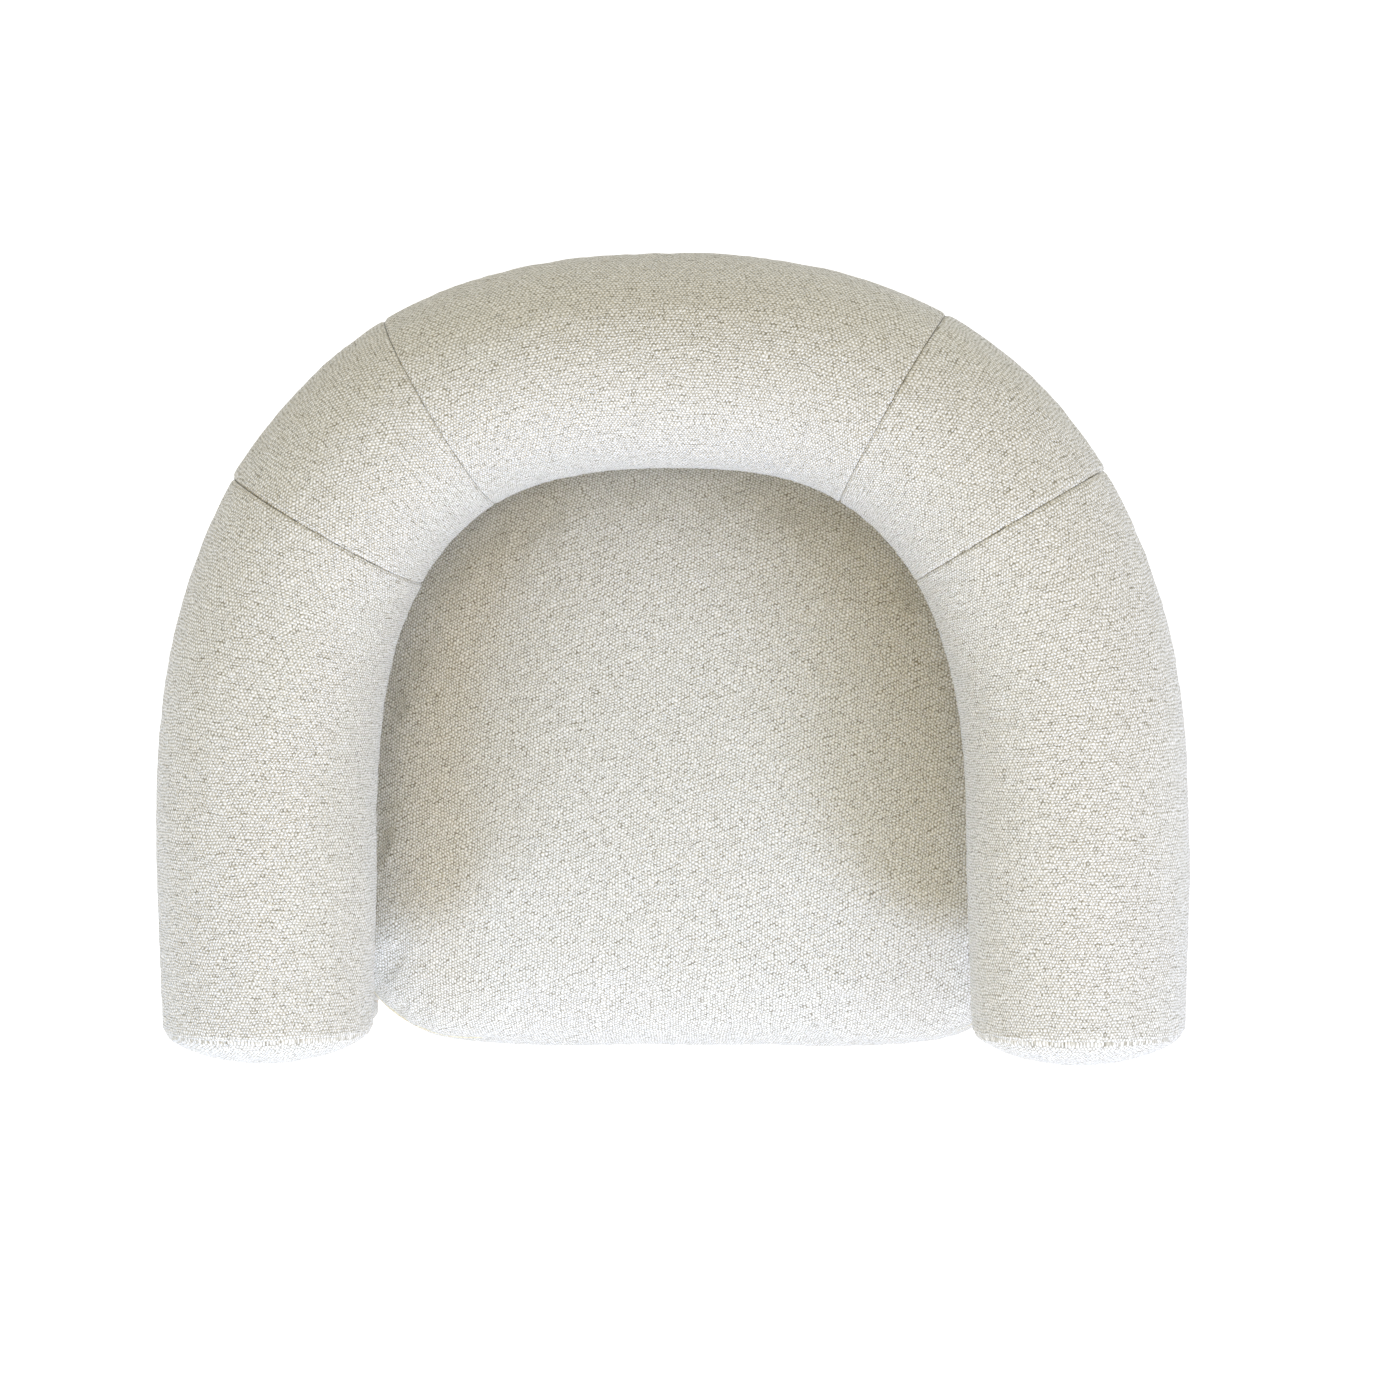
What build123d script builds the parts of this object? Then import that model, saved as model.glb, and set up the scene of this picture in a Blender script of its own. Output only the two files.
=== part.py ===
"""Upholstered tub armchair: a horseshoe bolster on an upholstered shell around a crowned seat.

Everything is modelled in millimetres, +Z up, the front towards -Y. Plan shapes are drawn about the
bolster's widest line (y = 0); export() then moves each piece so that the origin is the middle of the
footprint, on the floor.
"""
from math import cos, radians, sin, sqrt, tan
import os

from build123d import *

# ---- Overall size -------------------------------------------------------------------------------
OVERALL_WIDTH = 920.0
OVERALL_DEPTH = 714.0
OVERALL_HEIGHT = 690.0

# ---- Bolster: one padded roll that forms both arms and the back ----------------------------------
BOLSTER_RADIUS = 95.0
BOLSTER_TILT = 7.5            # degrees, the back is higher than the arm ends
ARM_LENGTH = 161.0            # widest line to the end seam, along Y
CAP_CROWN = 28.0              # how far an end cap bulges past its seam
SIDE_ARC_RADIUS = 950.0       # the arm bends gently before the corner
SIDE_ARC_TURN = 12.0          # degrees turned where the corner arc starts
CORNER_ARC_TURN = 81.0        # degrees turned where the back arc starts
ARM_SEAM_TURN = 30.0          # degrees turned at the seam between arm and corner panels
BACK_SEAM_TURN = 59.5         # degrees turned at the seam between corner and back panels
BOLSTER_BOARD_THICKNESS = 18.0
BOLSTER_BOARD_WIDTH = 116.0
BOARD_EDGE_GAP = 6.0          # between the board's lower corners and the cover around them

# ---- Sheet goods ---------------------------------------------------------------------------------
COVER = 2.0                   # boucle cover fabric
DUST_CLOTH = 2.0
SPRING_CLOTH = 1.5
FIT_GAP = 0.2                 # between a cover and what it covers

# ---- Shell: the upholstered wall under the bolster ------------------------------------------------
SHELL_INSIDE = -31.0          # finished inside face, from the bolster's centreline
SHELL_OUTSIDE = 60.0          # finished outside face, from the bolster's centreline
INSIDE_PAD = 18.0
OUTSIDE_PAD = 12.0
BENDING_BOARD = 5.0
POST_WIDTH = 40.0
POST_TURNS = (24.0, 56.0)     # degrees turned at the posts of each rear corner
ARM_FRONT_GAP = 2.6           # between the finished arm front and the bolster's end seam above it
ARM_FRONT_PAD = 12.0
MIDDLE_POST_Y = 0.0

# ---- Seat ----------------------------------------------------------------------------------------
SEAT_GAP = 2.0                # between the seat and the inside shell cover
SEAT_FRONT = 168.0            # widest line to the seat's front edge
SEAT_CORNER_RADIUS = 120.0
SEAT_HEIGHT = 430.0           # top of the crown
SEAT_CROWN_RADIUS = 1050.0
SEAT_CROWN_SETBACK = 225.0    # the crown is highest this far in front of the bolster's rear centre
SEAT_EDGE_ROUND = 30.0
SEAT_BASE_FOAM = 80.0         # thickness of the firm lower foam; the soft top foam fills the rest
BORDER_INSET = 8.0            # the front border under the seat is set back from the seat's edge
BORDER_PAD = 14.0
BORDER_BACK_Y = -40.0         # the border runs back to here along each side, inside the shell

# ---- Base and seat frame ---------------------------------------------------------------------------
FOOT_HEIGHT = 60.0
FOOT_TOP_RADIUS = 32.0
FOOT_BOTTOM_RADIUS = 24.0
FOOT_SIDE_SETBACK = 66.0      # side rail's outer face to the foot's axis
FRONT_FOOT_SETBACK = 80.0     # seat's front edge to the front feet's axes
REAR_FOOT_SETBACK = 110.0     # bolster's rear centre to the rear feet's axes
GLIDE_RADIUS = 17.0
GLIDE_THICKNESS = 5.0
BASE_BOARD = 18.0
RAIL_THICKNESS = 25.0
RAIL_HEIGHT = 104.0
SIDE_RAIL_SETBACK = 72.0      # seat frame's side edge to the side rail's outer face
FRONT_RAIL_SETBACK = 4.0      # seat frame's front edge to the front rail's face
BACK_RAIL_SETBACK = 198.0     # bolster's rear centre to the back rail's rear face
CROSS_RAIL_SETBACK = 130.7       # back rail's front face to the cross rail's rear face
CROSS_RAIL_HEIGHT = 56.0
CORNER_BLOCK = 45.0
CORNER_BLOCK_HEIGHT = 70.0
LEDGE = 12.0                  # plywood ledge that the springs and the seat foam rest on

# ---- Springs and hardware --------------------------------------------------------------------------
SPRING_COUNT = 5
SPRING_SIDE_SHARE = 0.75      # side rail to the outer springs, as a share of the spring spacing
SPRING_WIDTH = 48.0
SPRING_BENDS = 16
SPRING_WIRE = 3.6
SPRING_REST = 3.0             # clip thickness under the wire
CLIP_WIDTH = 18.0
CLIP_LENGTH = 16.0
CLIP_WALL = 1.5
BOLT_RADIUS = 4.0
BOLT_GAP = 0.2
BOLT_IN_FOOT = 35.0
TEE_NUT_RADIUS = 11.0
TEE_NUT_FLANGE = 2.0
TEE_NUT_BARREL_RADIUS = 5.4
TEE_NUT_BARREL = 12.0
SCREW_RADIUS = 2.2
SCREW_HEAD_RADIUS = 4.2
SCREW_HEAD = 3.0
SCREW_LENGTH = 55.0
STAPLE_WIDTH = 10.0
STAPLE_WIRE = 1.2
STAPLE_LEG = 8.0
STAPLE_SPACING_TURN = 12.0    # degrees between staples around the shell's bottom edge
FRONT_STAPLES = 3             # staples each side of the middle one along the front
FRONT_STAPLE_SPACING = 60.0

# ---- Worked out from the sizes above ----------------------------------------------------------------
TILT_COS = cos(radians(BOLSTER_TILT))
HALF_WIDTH = OVERALL_WIDTH / 2 - BOLSTER_RADIUS
CAP_SPHERE = (BOLSTER_RADIUS ** 2 + CAP_CROWN ** 2) / (2 * CAP_CROWN)
FRONT_REACH = ARM_LENGTH + CAP_SPHERE - (CAP_SPHERE - CAP_CROWN) * TILT_COS
BACK_REACH = OVERALL_DEPTH - FRONT_REACH
CENTRE_REACH = BACK_REACH - BOLSTER_RADIUS
BOLSTER_Z = OVERALL_HEIGHT - BOLSTER_RADIUS - CENTRE_REACH * tan(radians(BOLSTER_TILT))
FOOTPRINT_CENTRE_Y = (BACK_REACH - FRONT_REACH) / 2
BOARD_CORNER_REACH = BOLSTER_RADIUS - COVER - BOARD_EDGE_GAP
SHELL_TOP_DROP = sqrt(BOARD_CORNER_REACH ** 2 - (BOLSTER_BOARD_WIDTH / 2) ** 2)
BOLSTER_BOARD_DROP = SHELL_TOP_DROP - BOLSTER_BOARD_THICKNESS
ARM_FRONT = ARM_LENGTH - BOLSTER_RADIUS * sin(radians(BOLSTER_TILT)) - ARM_FRONT_GAP
BASE_BOTTOM = GLIDE_THICKNESS + FOOT_HEIGHT
BASE_TOP = BASE_BOTTOM + BASE_BOARD
RAIL_TOP = BASE_TOP + RAIL_HEIGHT
LEDGE_TOP = RAIL_TOP + LEDGE
INSIDE_BOARD_FACE = SHELL_INSIDE + COVER + INSIDE_PAD
POST_INSIDE = INSIDE_BOARD_FACE + BENDING_BOARD
OUTSIDE_BOARD_FACE = SHELL_OUTSIDE - COVER - OUTSIDE_PAD
POST_OUTSIDE = OUTSIDE_BOARD_FACE - BENDING_BOARD
FRAME_FRONT = ARM_FRONT - COVER - ARM_FRONT_PAD - BENDING_BOARD
SEAT_OFFSET = SHELL_INSIDE - SEAT_GAP
FRAME_INSET = BORDER_INSET + COVER + BORDER_PAD
SPRING_CLOTH_BOTTOM = LEDGE_TOP + SPRING_REST + SPRING_WIRE + FIT_GAP
SEAT_BOTTOM = SPRING_CLOTH_BOTTOM + SPRING_CLOTH + FIT_GAP
SEAT_CROWN_Y = CENTRE_REACH - SEAT_CROWN_SETBACK
SIDE_RAIL_OUTSIDE = HALF_WIDTH + SEAT_OFFSET - FRAME_INSET - SIDE_RAIL_SETBACK
FRONT_RAIL_FACE = SEAT_FRONT - FRAME_INSET - FRONT_RAIL_SETBACK
BACK_RAIL_FACE = CENTRE_REACH - BACK_RAIL_SETBACK
FOOT_X = SIDE_RAIL_OUTSIDE - FOOT_SIDE_SETBACK
FRONT_FOOT_Y = -SEAT_FRONT + FRONT_FOOT_SETBACK
REAR_FOOT_Y = CENTRE_REACH - REAR_FOOT_SETBACK
BIG = 2 * (OVERALL_WIDTH + OVERALL_DEPTH + OVERALL_HEIGHT)
FOOT_PLACES = {
    "front_left": (-FOOT_X, FRONT_FOOT_Y),
    "front_right": (FOOT_X, FRONT_FOOT_Y),
    "rear_left": (-FOOT_X, REAR_FOOT_Y),
    "rear_right": (FOOT_X, REAR_FOOT_Y),
}

# The bolster is modelled flat, then laid in its tilted plane.
BOLSTER_PLACE = Pos(0, 0, BOLSTER_Z) * Rot(BOLSTER_TILT, 0, 0)


def export(name, part):
    """Write one piece, moved so that the origin is the middle of the footprint."""
    export_step(Pos(0, -FOOTPRINT_CENTRE_Y, 0) * part, f"parts/{name}.step")


# ---- The horseshoe path --------------------------------------------------------------------------
def horseshoe_arcs(reach):
    """Five tangent arcs from the right arm round to the left: (centre x, centre y, radius, from, to).

    The side arcs have a set radius; the corner and back radii close the path at the given reach.
    """
    side_cos, side_sin = cos(radians(SIDE_ARC_TURN)), sin(radians(SIDE_ARC_TURN))
    back_cos, back_sin = cos(radians(CORNER_ARC_TURN)), sin(radians(CORNER_ARC_TURN))
    across = SIDE_ARC_RADIUS * (1 - side_cos) - HALF_WIDTH
    along = reach - SIDE_ARC_RADIUS * side_sin
    spread = (back_cos - side_cos) * (1 - back_sin) + back_cos * (back_sin - side_sin)
    corner_radius = (across * (1 - back_sin) + back_cos * along) / spread
    back_radius = ((back_cos - side_cos) * along - (back_sin - side_sin) * across) / spread
    side_x = HALF_WIDTH - SIDE_ARC_RADIUS
    corner_x = side_x + (SIDE_ARC_RADIUS - corner_radius) * side_cos
    corner_y = (SIDE_ARC_RADIUS - corner_radius) * side_sin
    return [
        (side_x, 0, SIDE_ARC_RADIUS, 0, SIDE_ARC_TURN),
        (corner_x, corner_y, corner_radius, SIDE_ARC_TURN, CORNER_ARC_TURN),
        (0, reach - back_radius, back_radius, CORNER_ARC_TURN, 180 - CORNER_ARC_TURN),
        (-corner_x, corner_y, corner_radius, 180 - CORNER_ARC_TURN, 180 - SIDE_ARC_TURN),
        (-side_x, 0, SIDE_ARC_RADIUS, 180 - SIDE_ARC_TURN, 180),
    ]


PLAN_ARCS = horseshoe_arcs(CENTRE_REACH)
BOLSTER_ARCS = horseshoe_arcs(CENTRE_REACH / TILT_COS)


def point_on_path(turn, offset):
    """Plan position and turn of a point beside the path, offset outwards from it."""
    for centre_x, centre_y, radius, start, end in PLAN_ARCS:
        if start <= turn <= end:
            reach = radius + offset
            return centre_x + reach * cos(radians(turn)), centre_y + reach * sin(radians(turn))


def along_horseshoe(section, arcs, arm, start=0.0, end=180.0, right=True, left=True):
    """Carry a section round the path. section(r) is drawn in the XZ plane, r from the arc's centre."""
    pieces = []
    if right:
        pieces.append(extrude(section(HALF_WIDTH), amount=arm))
    for centre_x, centre_y, radius, arc_start, arc_end in arcs:
        low, high = max(start, arc_start), min(end, arc_end)
        if high - low > 0.001:
            turned = revolve(section(radius), axis=Axis.Z, revolution_arc=high - low)
            pieces.append(Pos(centre_x, centre_y, 0) * Rot(0, 0, low) * turned)
    if left:
        pieces.append(Rot(0, 0, 180) * extrude(section(HALF_WIDTH), amount=-arm))
    solid = pieces[0]
    for piece in pieces[1:]:
        solid = solid + piece
    return solid


def above_drop(drop):
    """Everything above a plane that lies a given drop below the bolster's centre plane."""
    block = Box(BIG, BIG, BIG, align=(Align.CENTER, Align.CENTER, Align.MIN))
    return BOLSTER_PLACE * Pos(0, 0, -drop) * block


def shell_band(inner, outer, bottom, arm, **span):
    """An upright wall between two offsets from the path, trimmed under the bolster board."""
    height = OVERALL_HEIGHT - bottom

    def section(radius):
        corner = Pos(radius + inner, bottom)
        return Plane.XZ * corner * Rectangle(outer - inner, height, align=(Align.MIN, Align.MIN))

    return along_horseshoe(section, PLAN_ARCS, arm, **span) - above_drop(SHELL_TOP_DROP)


def seat_outline(inset):
    """The seat's plan shape: the horseshoe's inside, closed by a straight front with round corners."""
    side = HALF_WIDTH + SEAT_OFFSET - inset
    corner = SEAT_CORNER_RADIUS - inset
    front = -SEAT_FRONT + inset
    corner_x, corner_y = side - corner, front + corner
    edges = [Line((side, corner_y), (side, 0))]
    for centre_x, centre_y, radius, start, end in PLAN_ARCS:
        edges.append(CenterArc((centre_x, centre_y), radius + SEAT_OFFSET - inset, start, end - start))
    edges.append(Line((-side, 0), (-side, corner_y)))
    edges.append(CenterArc((-corner_x, corner_y), corner, 180, 90))
    edges.append(Line((-corner_x, front), (corner_x, front)))
    edges.append(CenterArc((corner_x, corner_y), corner, 270, 90))
    return make_face(edges)


def block(x_range, y_range, z_range):
    """A box given by its limits."""
    size = [high - low for low, high in (x_range, y_range, z_range)]
    middle = [(high + low) / 2 for low, high in (x_range, y_range, z_range)]
    return Pos(*middle) * Box(*size)


def group(solids):
    """Separate solids kept together in one node."""
    return Compound(children=list(solids))


# ---- Bolster -------------------------------------------------------------------------------------
def bolster_piece(section, **span):
    """A piece that follows the bolster's path, laid in the tilted plane."""
    solid = along_horseshoe(section, BOLSTER_ARCS, ARM_LENGTH / TILT_COS, **span)
    return BOLSTER_PLACE * solid


def bolster_foam_section(radius):
    """A disc with a flat underside that sits on the board."""
    foam_radius = BOLSTER_RADIUS - COVER - FIT_GAP
    flat = Pos(0, -BOLSTER_BOARD_DROP) * Rectangle(
        2 * foam_radius, 2 * foam_radius, align=(Align.CENTER, Align.MIN))
    return Plane.XZ * Pos(radius, 0) * (Circle(foam_radius) & flat)


def bolster_cover_section(radius):
    """A ring, open underneath where the shell meets the board."""
    kept = Pos(0, -SHELL_TOP_DROP) * Rectangle(
        4 * BOLSTER_RADIUS, 4 * BOLSTER_RADIUS, align=(Align.CENTER, Align.MIN))
    ring = Circle(BOLSTER_RADIUS) - Circle(BOLSTER_RADIUS - COVER)
    return Plane.XZ * Pos(radius, 0) * (ring & kept)


def bolster_board_section(radius):
    """The board's rectangle under the foam."""
    corner = Pos(radius, -BOLSTER_BOARD_DROP)
    board = Rectangle(BOLSTER_BOARD_WIDTH, BOLSTER_BOARD_THICKNESS, align=(Align.CENTER, Align.MAX))
    return Plane.XZ * corner * board


def end_cap(side):
    """A shallow dome that closes one arm end."""
    arm = ARM_LENGTH / TILT_COS
    ball = Pos(side * HALF_WIDTH, -arm + CAP_SPHERE - CAP_CROWN, 0) * Sphere(CAP_SPHERE)
    front = block((-BIG, BIG), (-BIG, -arm), (-BIG, BIG))
    return BOLSTER_PLACE * (ball & front)


def make_bolster():
    """Board, foam, five sewn panels and two end caps."""
    export("bolster_board", bolster_piece(bolster_board_section))
    export("bolster_foam", bolster_piece(bolster_foam_section))
    panels = {
        "right_arm_cover": dict(start=0, end=ARM_SEAM_TURN, left=False),
        "right_corner_cover": dict(start=ARM_SEAM_TURN, end=BACK_SEAM_TURN, right=False, left=False),
        "back_cover": dict(start=BACK_SEAM_TURN, end=180 - BACK_SEAM_TURN, right=False, left=False),
        "left_corner_cover": dict(
            start=180 - BACK_SEAM_TURN, end=180 - ARM_SEAM_TURN, right=False, left=False),
        "left_arm_cover": dict(start=180 - ARM_SEAM_TURN, end=180, right=False),
    }
    for name, span in panels.items():
        export(name, bolster_piece(bolster_cover_section, **span))
    export("left_end_cap", end_cap(-1))
    export("right_end_cap", end_cap(1))


# ---- Shell ---------------------------------------------------------------------------------------
def make_shell():
    """Posts between two bending boards, padded and covered inside and out."""
    export("inside_shell_cover",
           shell_band(SHELL_INSIDE, SHELL_INSIDE + COVER, BASE_TOP, FRAME_FRONT))
    export("inside_shell_padding",
           shell_band(SHELL_INSIDE + COVER, INSIDE_BOARD_FACE, BASE_TOP, FRAME_FRONT))
    export("inside_shell_board", shell_band(INSIDE_BOARD_FACE, POST_INSIDE, BASE_TOP, FRAME_FRONT))
    export("outside_shell_board",
           shell_band(POST_OUTSIDE, OUTSIDE_BOARD_FACE, BASE_BOTTOM, FRAME_FRONT))
    export("outside_shell_padding",
           shell_band(OUTSIDE_BOARD_FACE, SHELL_OUTSIDE - COVER, BASE_BOTTOM, FRAME_FRONT))
    covers = {
        "outside_right_cover": dict(start=0, end=BACK_SEAM_TURN, left=False),
        "outside_back_cover": dict(
            start=BACK_SEAM_TURN, end=180 - BACK_SEAM_TURN, right=False, left=False),
        "outside_left_cover": dict(start=180 - BACK_SEAM_TURN, end=180, right=False),
    }
    for name, span in covers.items():
        export(name, shell_band(SHELL_OUTSIDE - COVER, SHELL_OUTSIDE, BASE_BOTTOM, FRAME_FRONT, **span))


def make_posts():
    """Upright posts on the base board, each trimmed to the space between the bending boards."""
    band = shell_band(POST_INSIDE, POST_OUTSIDE, BASE_TOP, FRAME_FRONT)
    middle = HALF_WIDTH + (POST_INSIDE + POST_OUTSIDE) / 2
    reach = POST_OUTSIDE - POST_INSIDE + POST_WIDTH
    upright = Box(reach, POST_WIDTH, BIG)
    for side, label in ((1, "right"), (-1, "left")):
        front = Pos(side * middle, -FRAME_FRONT + POST_WIDTH / 2, 0) * upright
        export(f"{label}_front_post", band & front)
        export(f"{label}_middle_post", band & (Pos(side * middle, MIDDLE_POST_Y, 0) * upright))
        for turn, place in zip(POST_TURNS, ("side", "corner")):
            x, y = point_on_path(turn, (POST_INSIDE + POST_OUTSIDE) / 2)
            corner = Pos(side * x, y, 0) * Rot(0, 0, side * turn) * upright
            export(f"{label}_{place}_post", band & corner)
    x, y = point_on_path(90, (POST_INSIDE + POST_OUTSIDE) / 2)
    export("back_post", band & (Pos(x, y, 0) * Rot(0, 0, 90) * upright))


def make_arm_fronts():
    """Board, padding and cover that close the front end of each side of the shell."""
    layers = (
        ("board", FRAME_FRONT, BENDING_BOARD),
        ("padding", FRAME_FRONT + BENDING_BOARD, ARM_FRONT_PAD),
        ("cover", ARM_FRONT - COVER, COVER),
    )
    for side, label in ((1, "right"), (-1, "left")):
        ends = sorted((side * (HALF_WIDTH + SHELL_INSIDE), side * (HALF_WIDTH + SHELL_OUTSIDE)))
        for layer, start, thickness in layers:
            slab = block(ends, (-start - thickness, -start), (BASE_BOTTOM, OVERALL_HEIGHT))
            export(f"{label}_arm_front_{layer}", slab - above_drop(SHELL_TOP_DROP))


# ---- Seat ----------------------------------------------------------------------------------------
def seat_form(inset, bottom):
    """A block with the seat's outline under a spherical crown, its upper edge rounded."""
    tall = Pos(0, 0, bottom) * extrude(seat_outline(inset), amount=SEAT_HEIGHT)
    crown_centre = Pos(0, SEAT_CROWN_Y, SEAT_HEIGHT - SEAT_CROWN_RADIUS)
    form = tall & (crown_centre * Sphere(SEAT_CROWN_RADIUS - inset))
    crown = form.faces().filter_by(GeomType.SPHERE)[0]
    return fillet(crown.edges(), SEAT_EDGE_ROUND - inset)


def make_seat():
    """Two foam layers under one cover, and the padded border below the seat's front."""
    foam = seat_form(COVER + FIT_GAP, SEAT_BOTTOM)
    low_part = block((-BIG, BIG), (-BIG, BIG), (SEAT_BOTTOM, SEAT_BOTTOM + SEAT_BASE_FOAM))
    export("seat_base_foam", foam & low_part)
    export("seat_top_foam", foam - low_part)
    export("seat_cover", seat_form(0, SEAT_BOTTOM) - seat_form(COVER, SEAT_BOTTOM))
    front = block((-BIG, BIG), (-BIG, BORDER_BACK_Y), (0, BIG))
    layers = (
        ("front_border_cover", BORDER_INSET, COVER),
        ("front_border_padding", BORDER_INSET + COVER, BORDER_PAD),
    )
    for name, inset, thickness in layers:
        ring = seat_outline(inset) - seat_outline(inset + thickness)
        wall = Pos(0, 0, BASE_BOTTOM) * extrude(ring, amount=SEAT_BOTTOM - BASE_BOTTOM)
        export(name, wall & front)


# ---- Base, seat frame and springs ----------------------------------------------------------------
def foot_bolt_holes():
    """Clearance for the four foot bolts."""
    hole = Cylinder(BOLT_RADIUS + BOLT_GAP, BIG)
    return [Pos(x, y, 0) * hole for x, y in FOOT_PLACES.values()]


def screw_places():
    """Where the base board is screwed up into the rails."""
    side = SIDE_RAIL_OUTSIDE - RAIL_THICKNESS / 2
    front = -FRONT_RAIL_FACE + RAIL_THICKNESS / 2
    back = BACK_RAIL_FACE - RAIL_THICKNESS / 2
    places = [(x, y) for x in (-side / 2, side / 2) for y in (front, back)]
    places += [(x, y) for x in (-side, side) for y in (front / 2, back / 2)]
    return places


def screw(radius_gap):
    """A countersunk screw with its head flush under the base board, or its clearance hole."""
    shank = Cylinder(
        SCREW_RADIUS + radius_gap, SCREW_LENGTH + radius_gap, align=(Align.CENTER, Align.CENTER, Align.MIN))
    head = Cone(
        SCREW_HEAD_RADIUS + radius_gap, SCREW_RADIUS + radius_gap, SCREW_HEAD,
        align=(Align.CENTER, Align.CENTER, Align.MIN))
    return Pos(0, 0, BASE_BOTTOM) * (shank + head)


def make_feet():
    """Four turned feet with their glides, bolts and tee nuts."""
    on_floor = (Align.CENTER, Align.CENTER, Align.MIN)
    foot = Cone(FOOT_BOTTOM_RADIUS, FOOT_TOP_RADIUS, FOOT_HEIGHT, align=on_floor)
    foot = Pos(0, 0, GLIDE_THICKNESS) * foot
    bolt_bottom = BASE_BOTTOM - BOLT_IN_FOOT
    bore = Cylinder(BOLT_RADIUS + BOLT_GAP, BOLT_IN_FOOT + BOLT_GAP, align=on_floor)
    foot = foot - Pos(0, 0, bolt_bottom - BOLT_GAP) * bore
    for label, (x, y) in FOOT_PLACES.items():
        export(f"{label}_foot", Pos(x, y, 0) * foot)
    glide = Cylinder(GLIDE_RADIUS, GLIDE_THICKNESS, align=on_floor)
    bolt_length = BOLT_IN_FOOT + BASE_BOARD + TEE_NUT_FLANGE
    bolt = Pos(0, 0, bolt_bottom) * Cylinder(BOLT_RADIUS, bolt_length, align=on_floor)
    flange = Pos(0, 0, BASE_TOP) * Cylinder(TEE_NUT_RADIUS, TEE_NUT_FLANGE, align=on_floor)
    barrel = Cylinder(TEE_NUT_BARREL_RADIUS, TEE_NUT_BARREL, align=on_floor)
    barrel = Pos(0, 0, BASE_TOP - TEE_NUT_BARREL) * barrel
    tee_nut = flange + barrel - Cylinder(BOLT_RADIUS + BOLT_GAP, BIG)
    for name, item in (("foot_glides", glide), ("foot_bolts", bolt), ("foot_tee_nuts", tee_nut)):
        export(name, group(Pos(x, y, 0) * item for x, y in FOOT_PLACES.values()))


def base_sheet(outer, bottom, thickness):
    """A sheet under the whole chair: below the shell out to an offset, and below the seat frame."""
    def section(radius):
        inner = Pos(radius + SHELL_INSIDE, bottom)
        return Plane.XZ * inner * Rectangle(outer - SHELL_INSIDE, thickness, align=(Align.MIN, Align.MIN))

    ring = along_horseshoe(section, PLAN_ARCS, FRAME_FRONT)
    behind_border = block((-BIG, BIG), (BORDER_BACK_Y, BIG), (0, BIG))
    rear = Pos(0, 0, bottom) * extrude(seat_outline(-SEAT_GAP), amount=thickness) & behind_border
    front = Pos(0, 0, bottom) * extrude(seat_outline(FRAME_INSET), amount=thickness)
    return ring + rear + front


def make_base():
    """Base board with its holes, the screws that hold the rails, and the dust cover under it."""
    board = base_sheet(POST_OUTSIDE, BASE_BOTTOM, BASE_BOARD)
    barrel_gap = Cylinder(TEE_NUT_BARREL_RADIUS + BOLT_GAP, TEE_NUT_BARREL + BOLT_GAP,
                          align=(Align.CENTER, Align.CENTER, Align.MAX))
    for hole in foot_bolt_holes():
        board = board - hole
    for x, y in FOOT_PLACES.values():
        board = board - Pos(x, y, BASE_TOP) * barrel_gap
    for x, y in screw_places():
        board = board - Pos(x, y, 0) * screw(BOLT_GAP)
    export("base_board", board)
    export("rail_screws", group(Pos(x, y, 0) * screw(0) for x, y in screw_places()))
    sheet = base_sheet(OUTSIDE_BOARD_FACE, BASE_BOTTOM - DUST_CLOTH, DUST_CLOTH)
    for x, y in FOOT_PLACES.values():
        sheet = sheet - Pos(x, y, 0) * Cylinder(FOOT_TOP_RADIUS + FIT_GAP, BIG)
    export("dust_cover", sheet)


def make_staples():
    """Staples that hold the dust cover's edge up to the base board."""
    crown = Pos(0, 0, -STAPLE_WIRE / 2) * Box(STAPLE_WIRE, STAPLE_WIDTH, STAPLE_WIRE)
    leg = Box(STAPLE_WIRE, STAPLE_WIRE, STAPLE_LEG, align=(Align.CENTER, Align.CENTER, Align.MIN))
    legs_apart = (STAPLE_WIDTH - STAPLE_WIRE) / 2
    staple = crown + Pos(0, -legs_apart, -STAPLE_WIRE) * leg + Pos(0, legs_apart, -STAPLE_WIRE) * leg
    staple = Pos(0, 0, BASE_BOTTOM - DUST_CLOTH) * staple
    edge = POST_OUTSIDE - STAPLE_WIDTH
    staples = []
    for step in range(round(180 / STAPLE_SPACING_TURN) + 1):
        turn = step * STAPLE_SPACING_TURN
        x, y = point_on_path(turn, edge)
        staples.append(Pos(x, y, 0) * Rot(0, 0, turn) * staple)
    front_y = -SEAT_FRONT + FRAME_INSET + STAPLE_WIDTH
    for step in range(-FRONT_STAPLES, FRONT_STAPLES + 1):
        staples.append(Pos(step * FRONT_STAPLE_SPACING, front_y, 0) * Rot(0, 0, 90) * staple)
    export("dust_cover_staples", group(staples))


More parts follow.
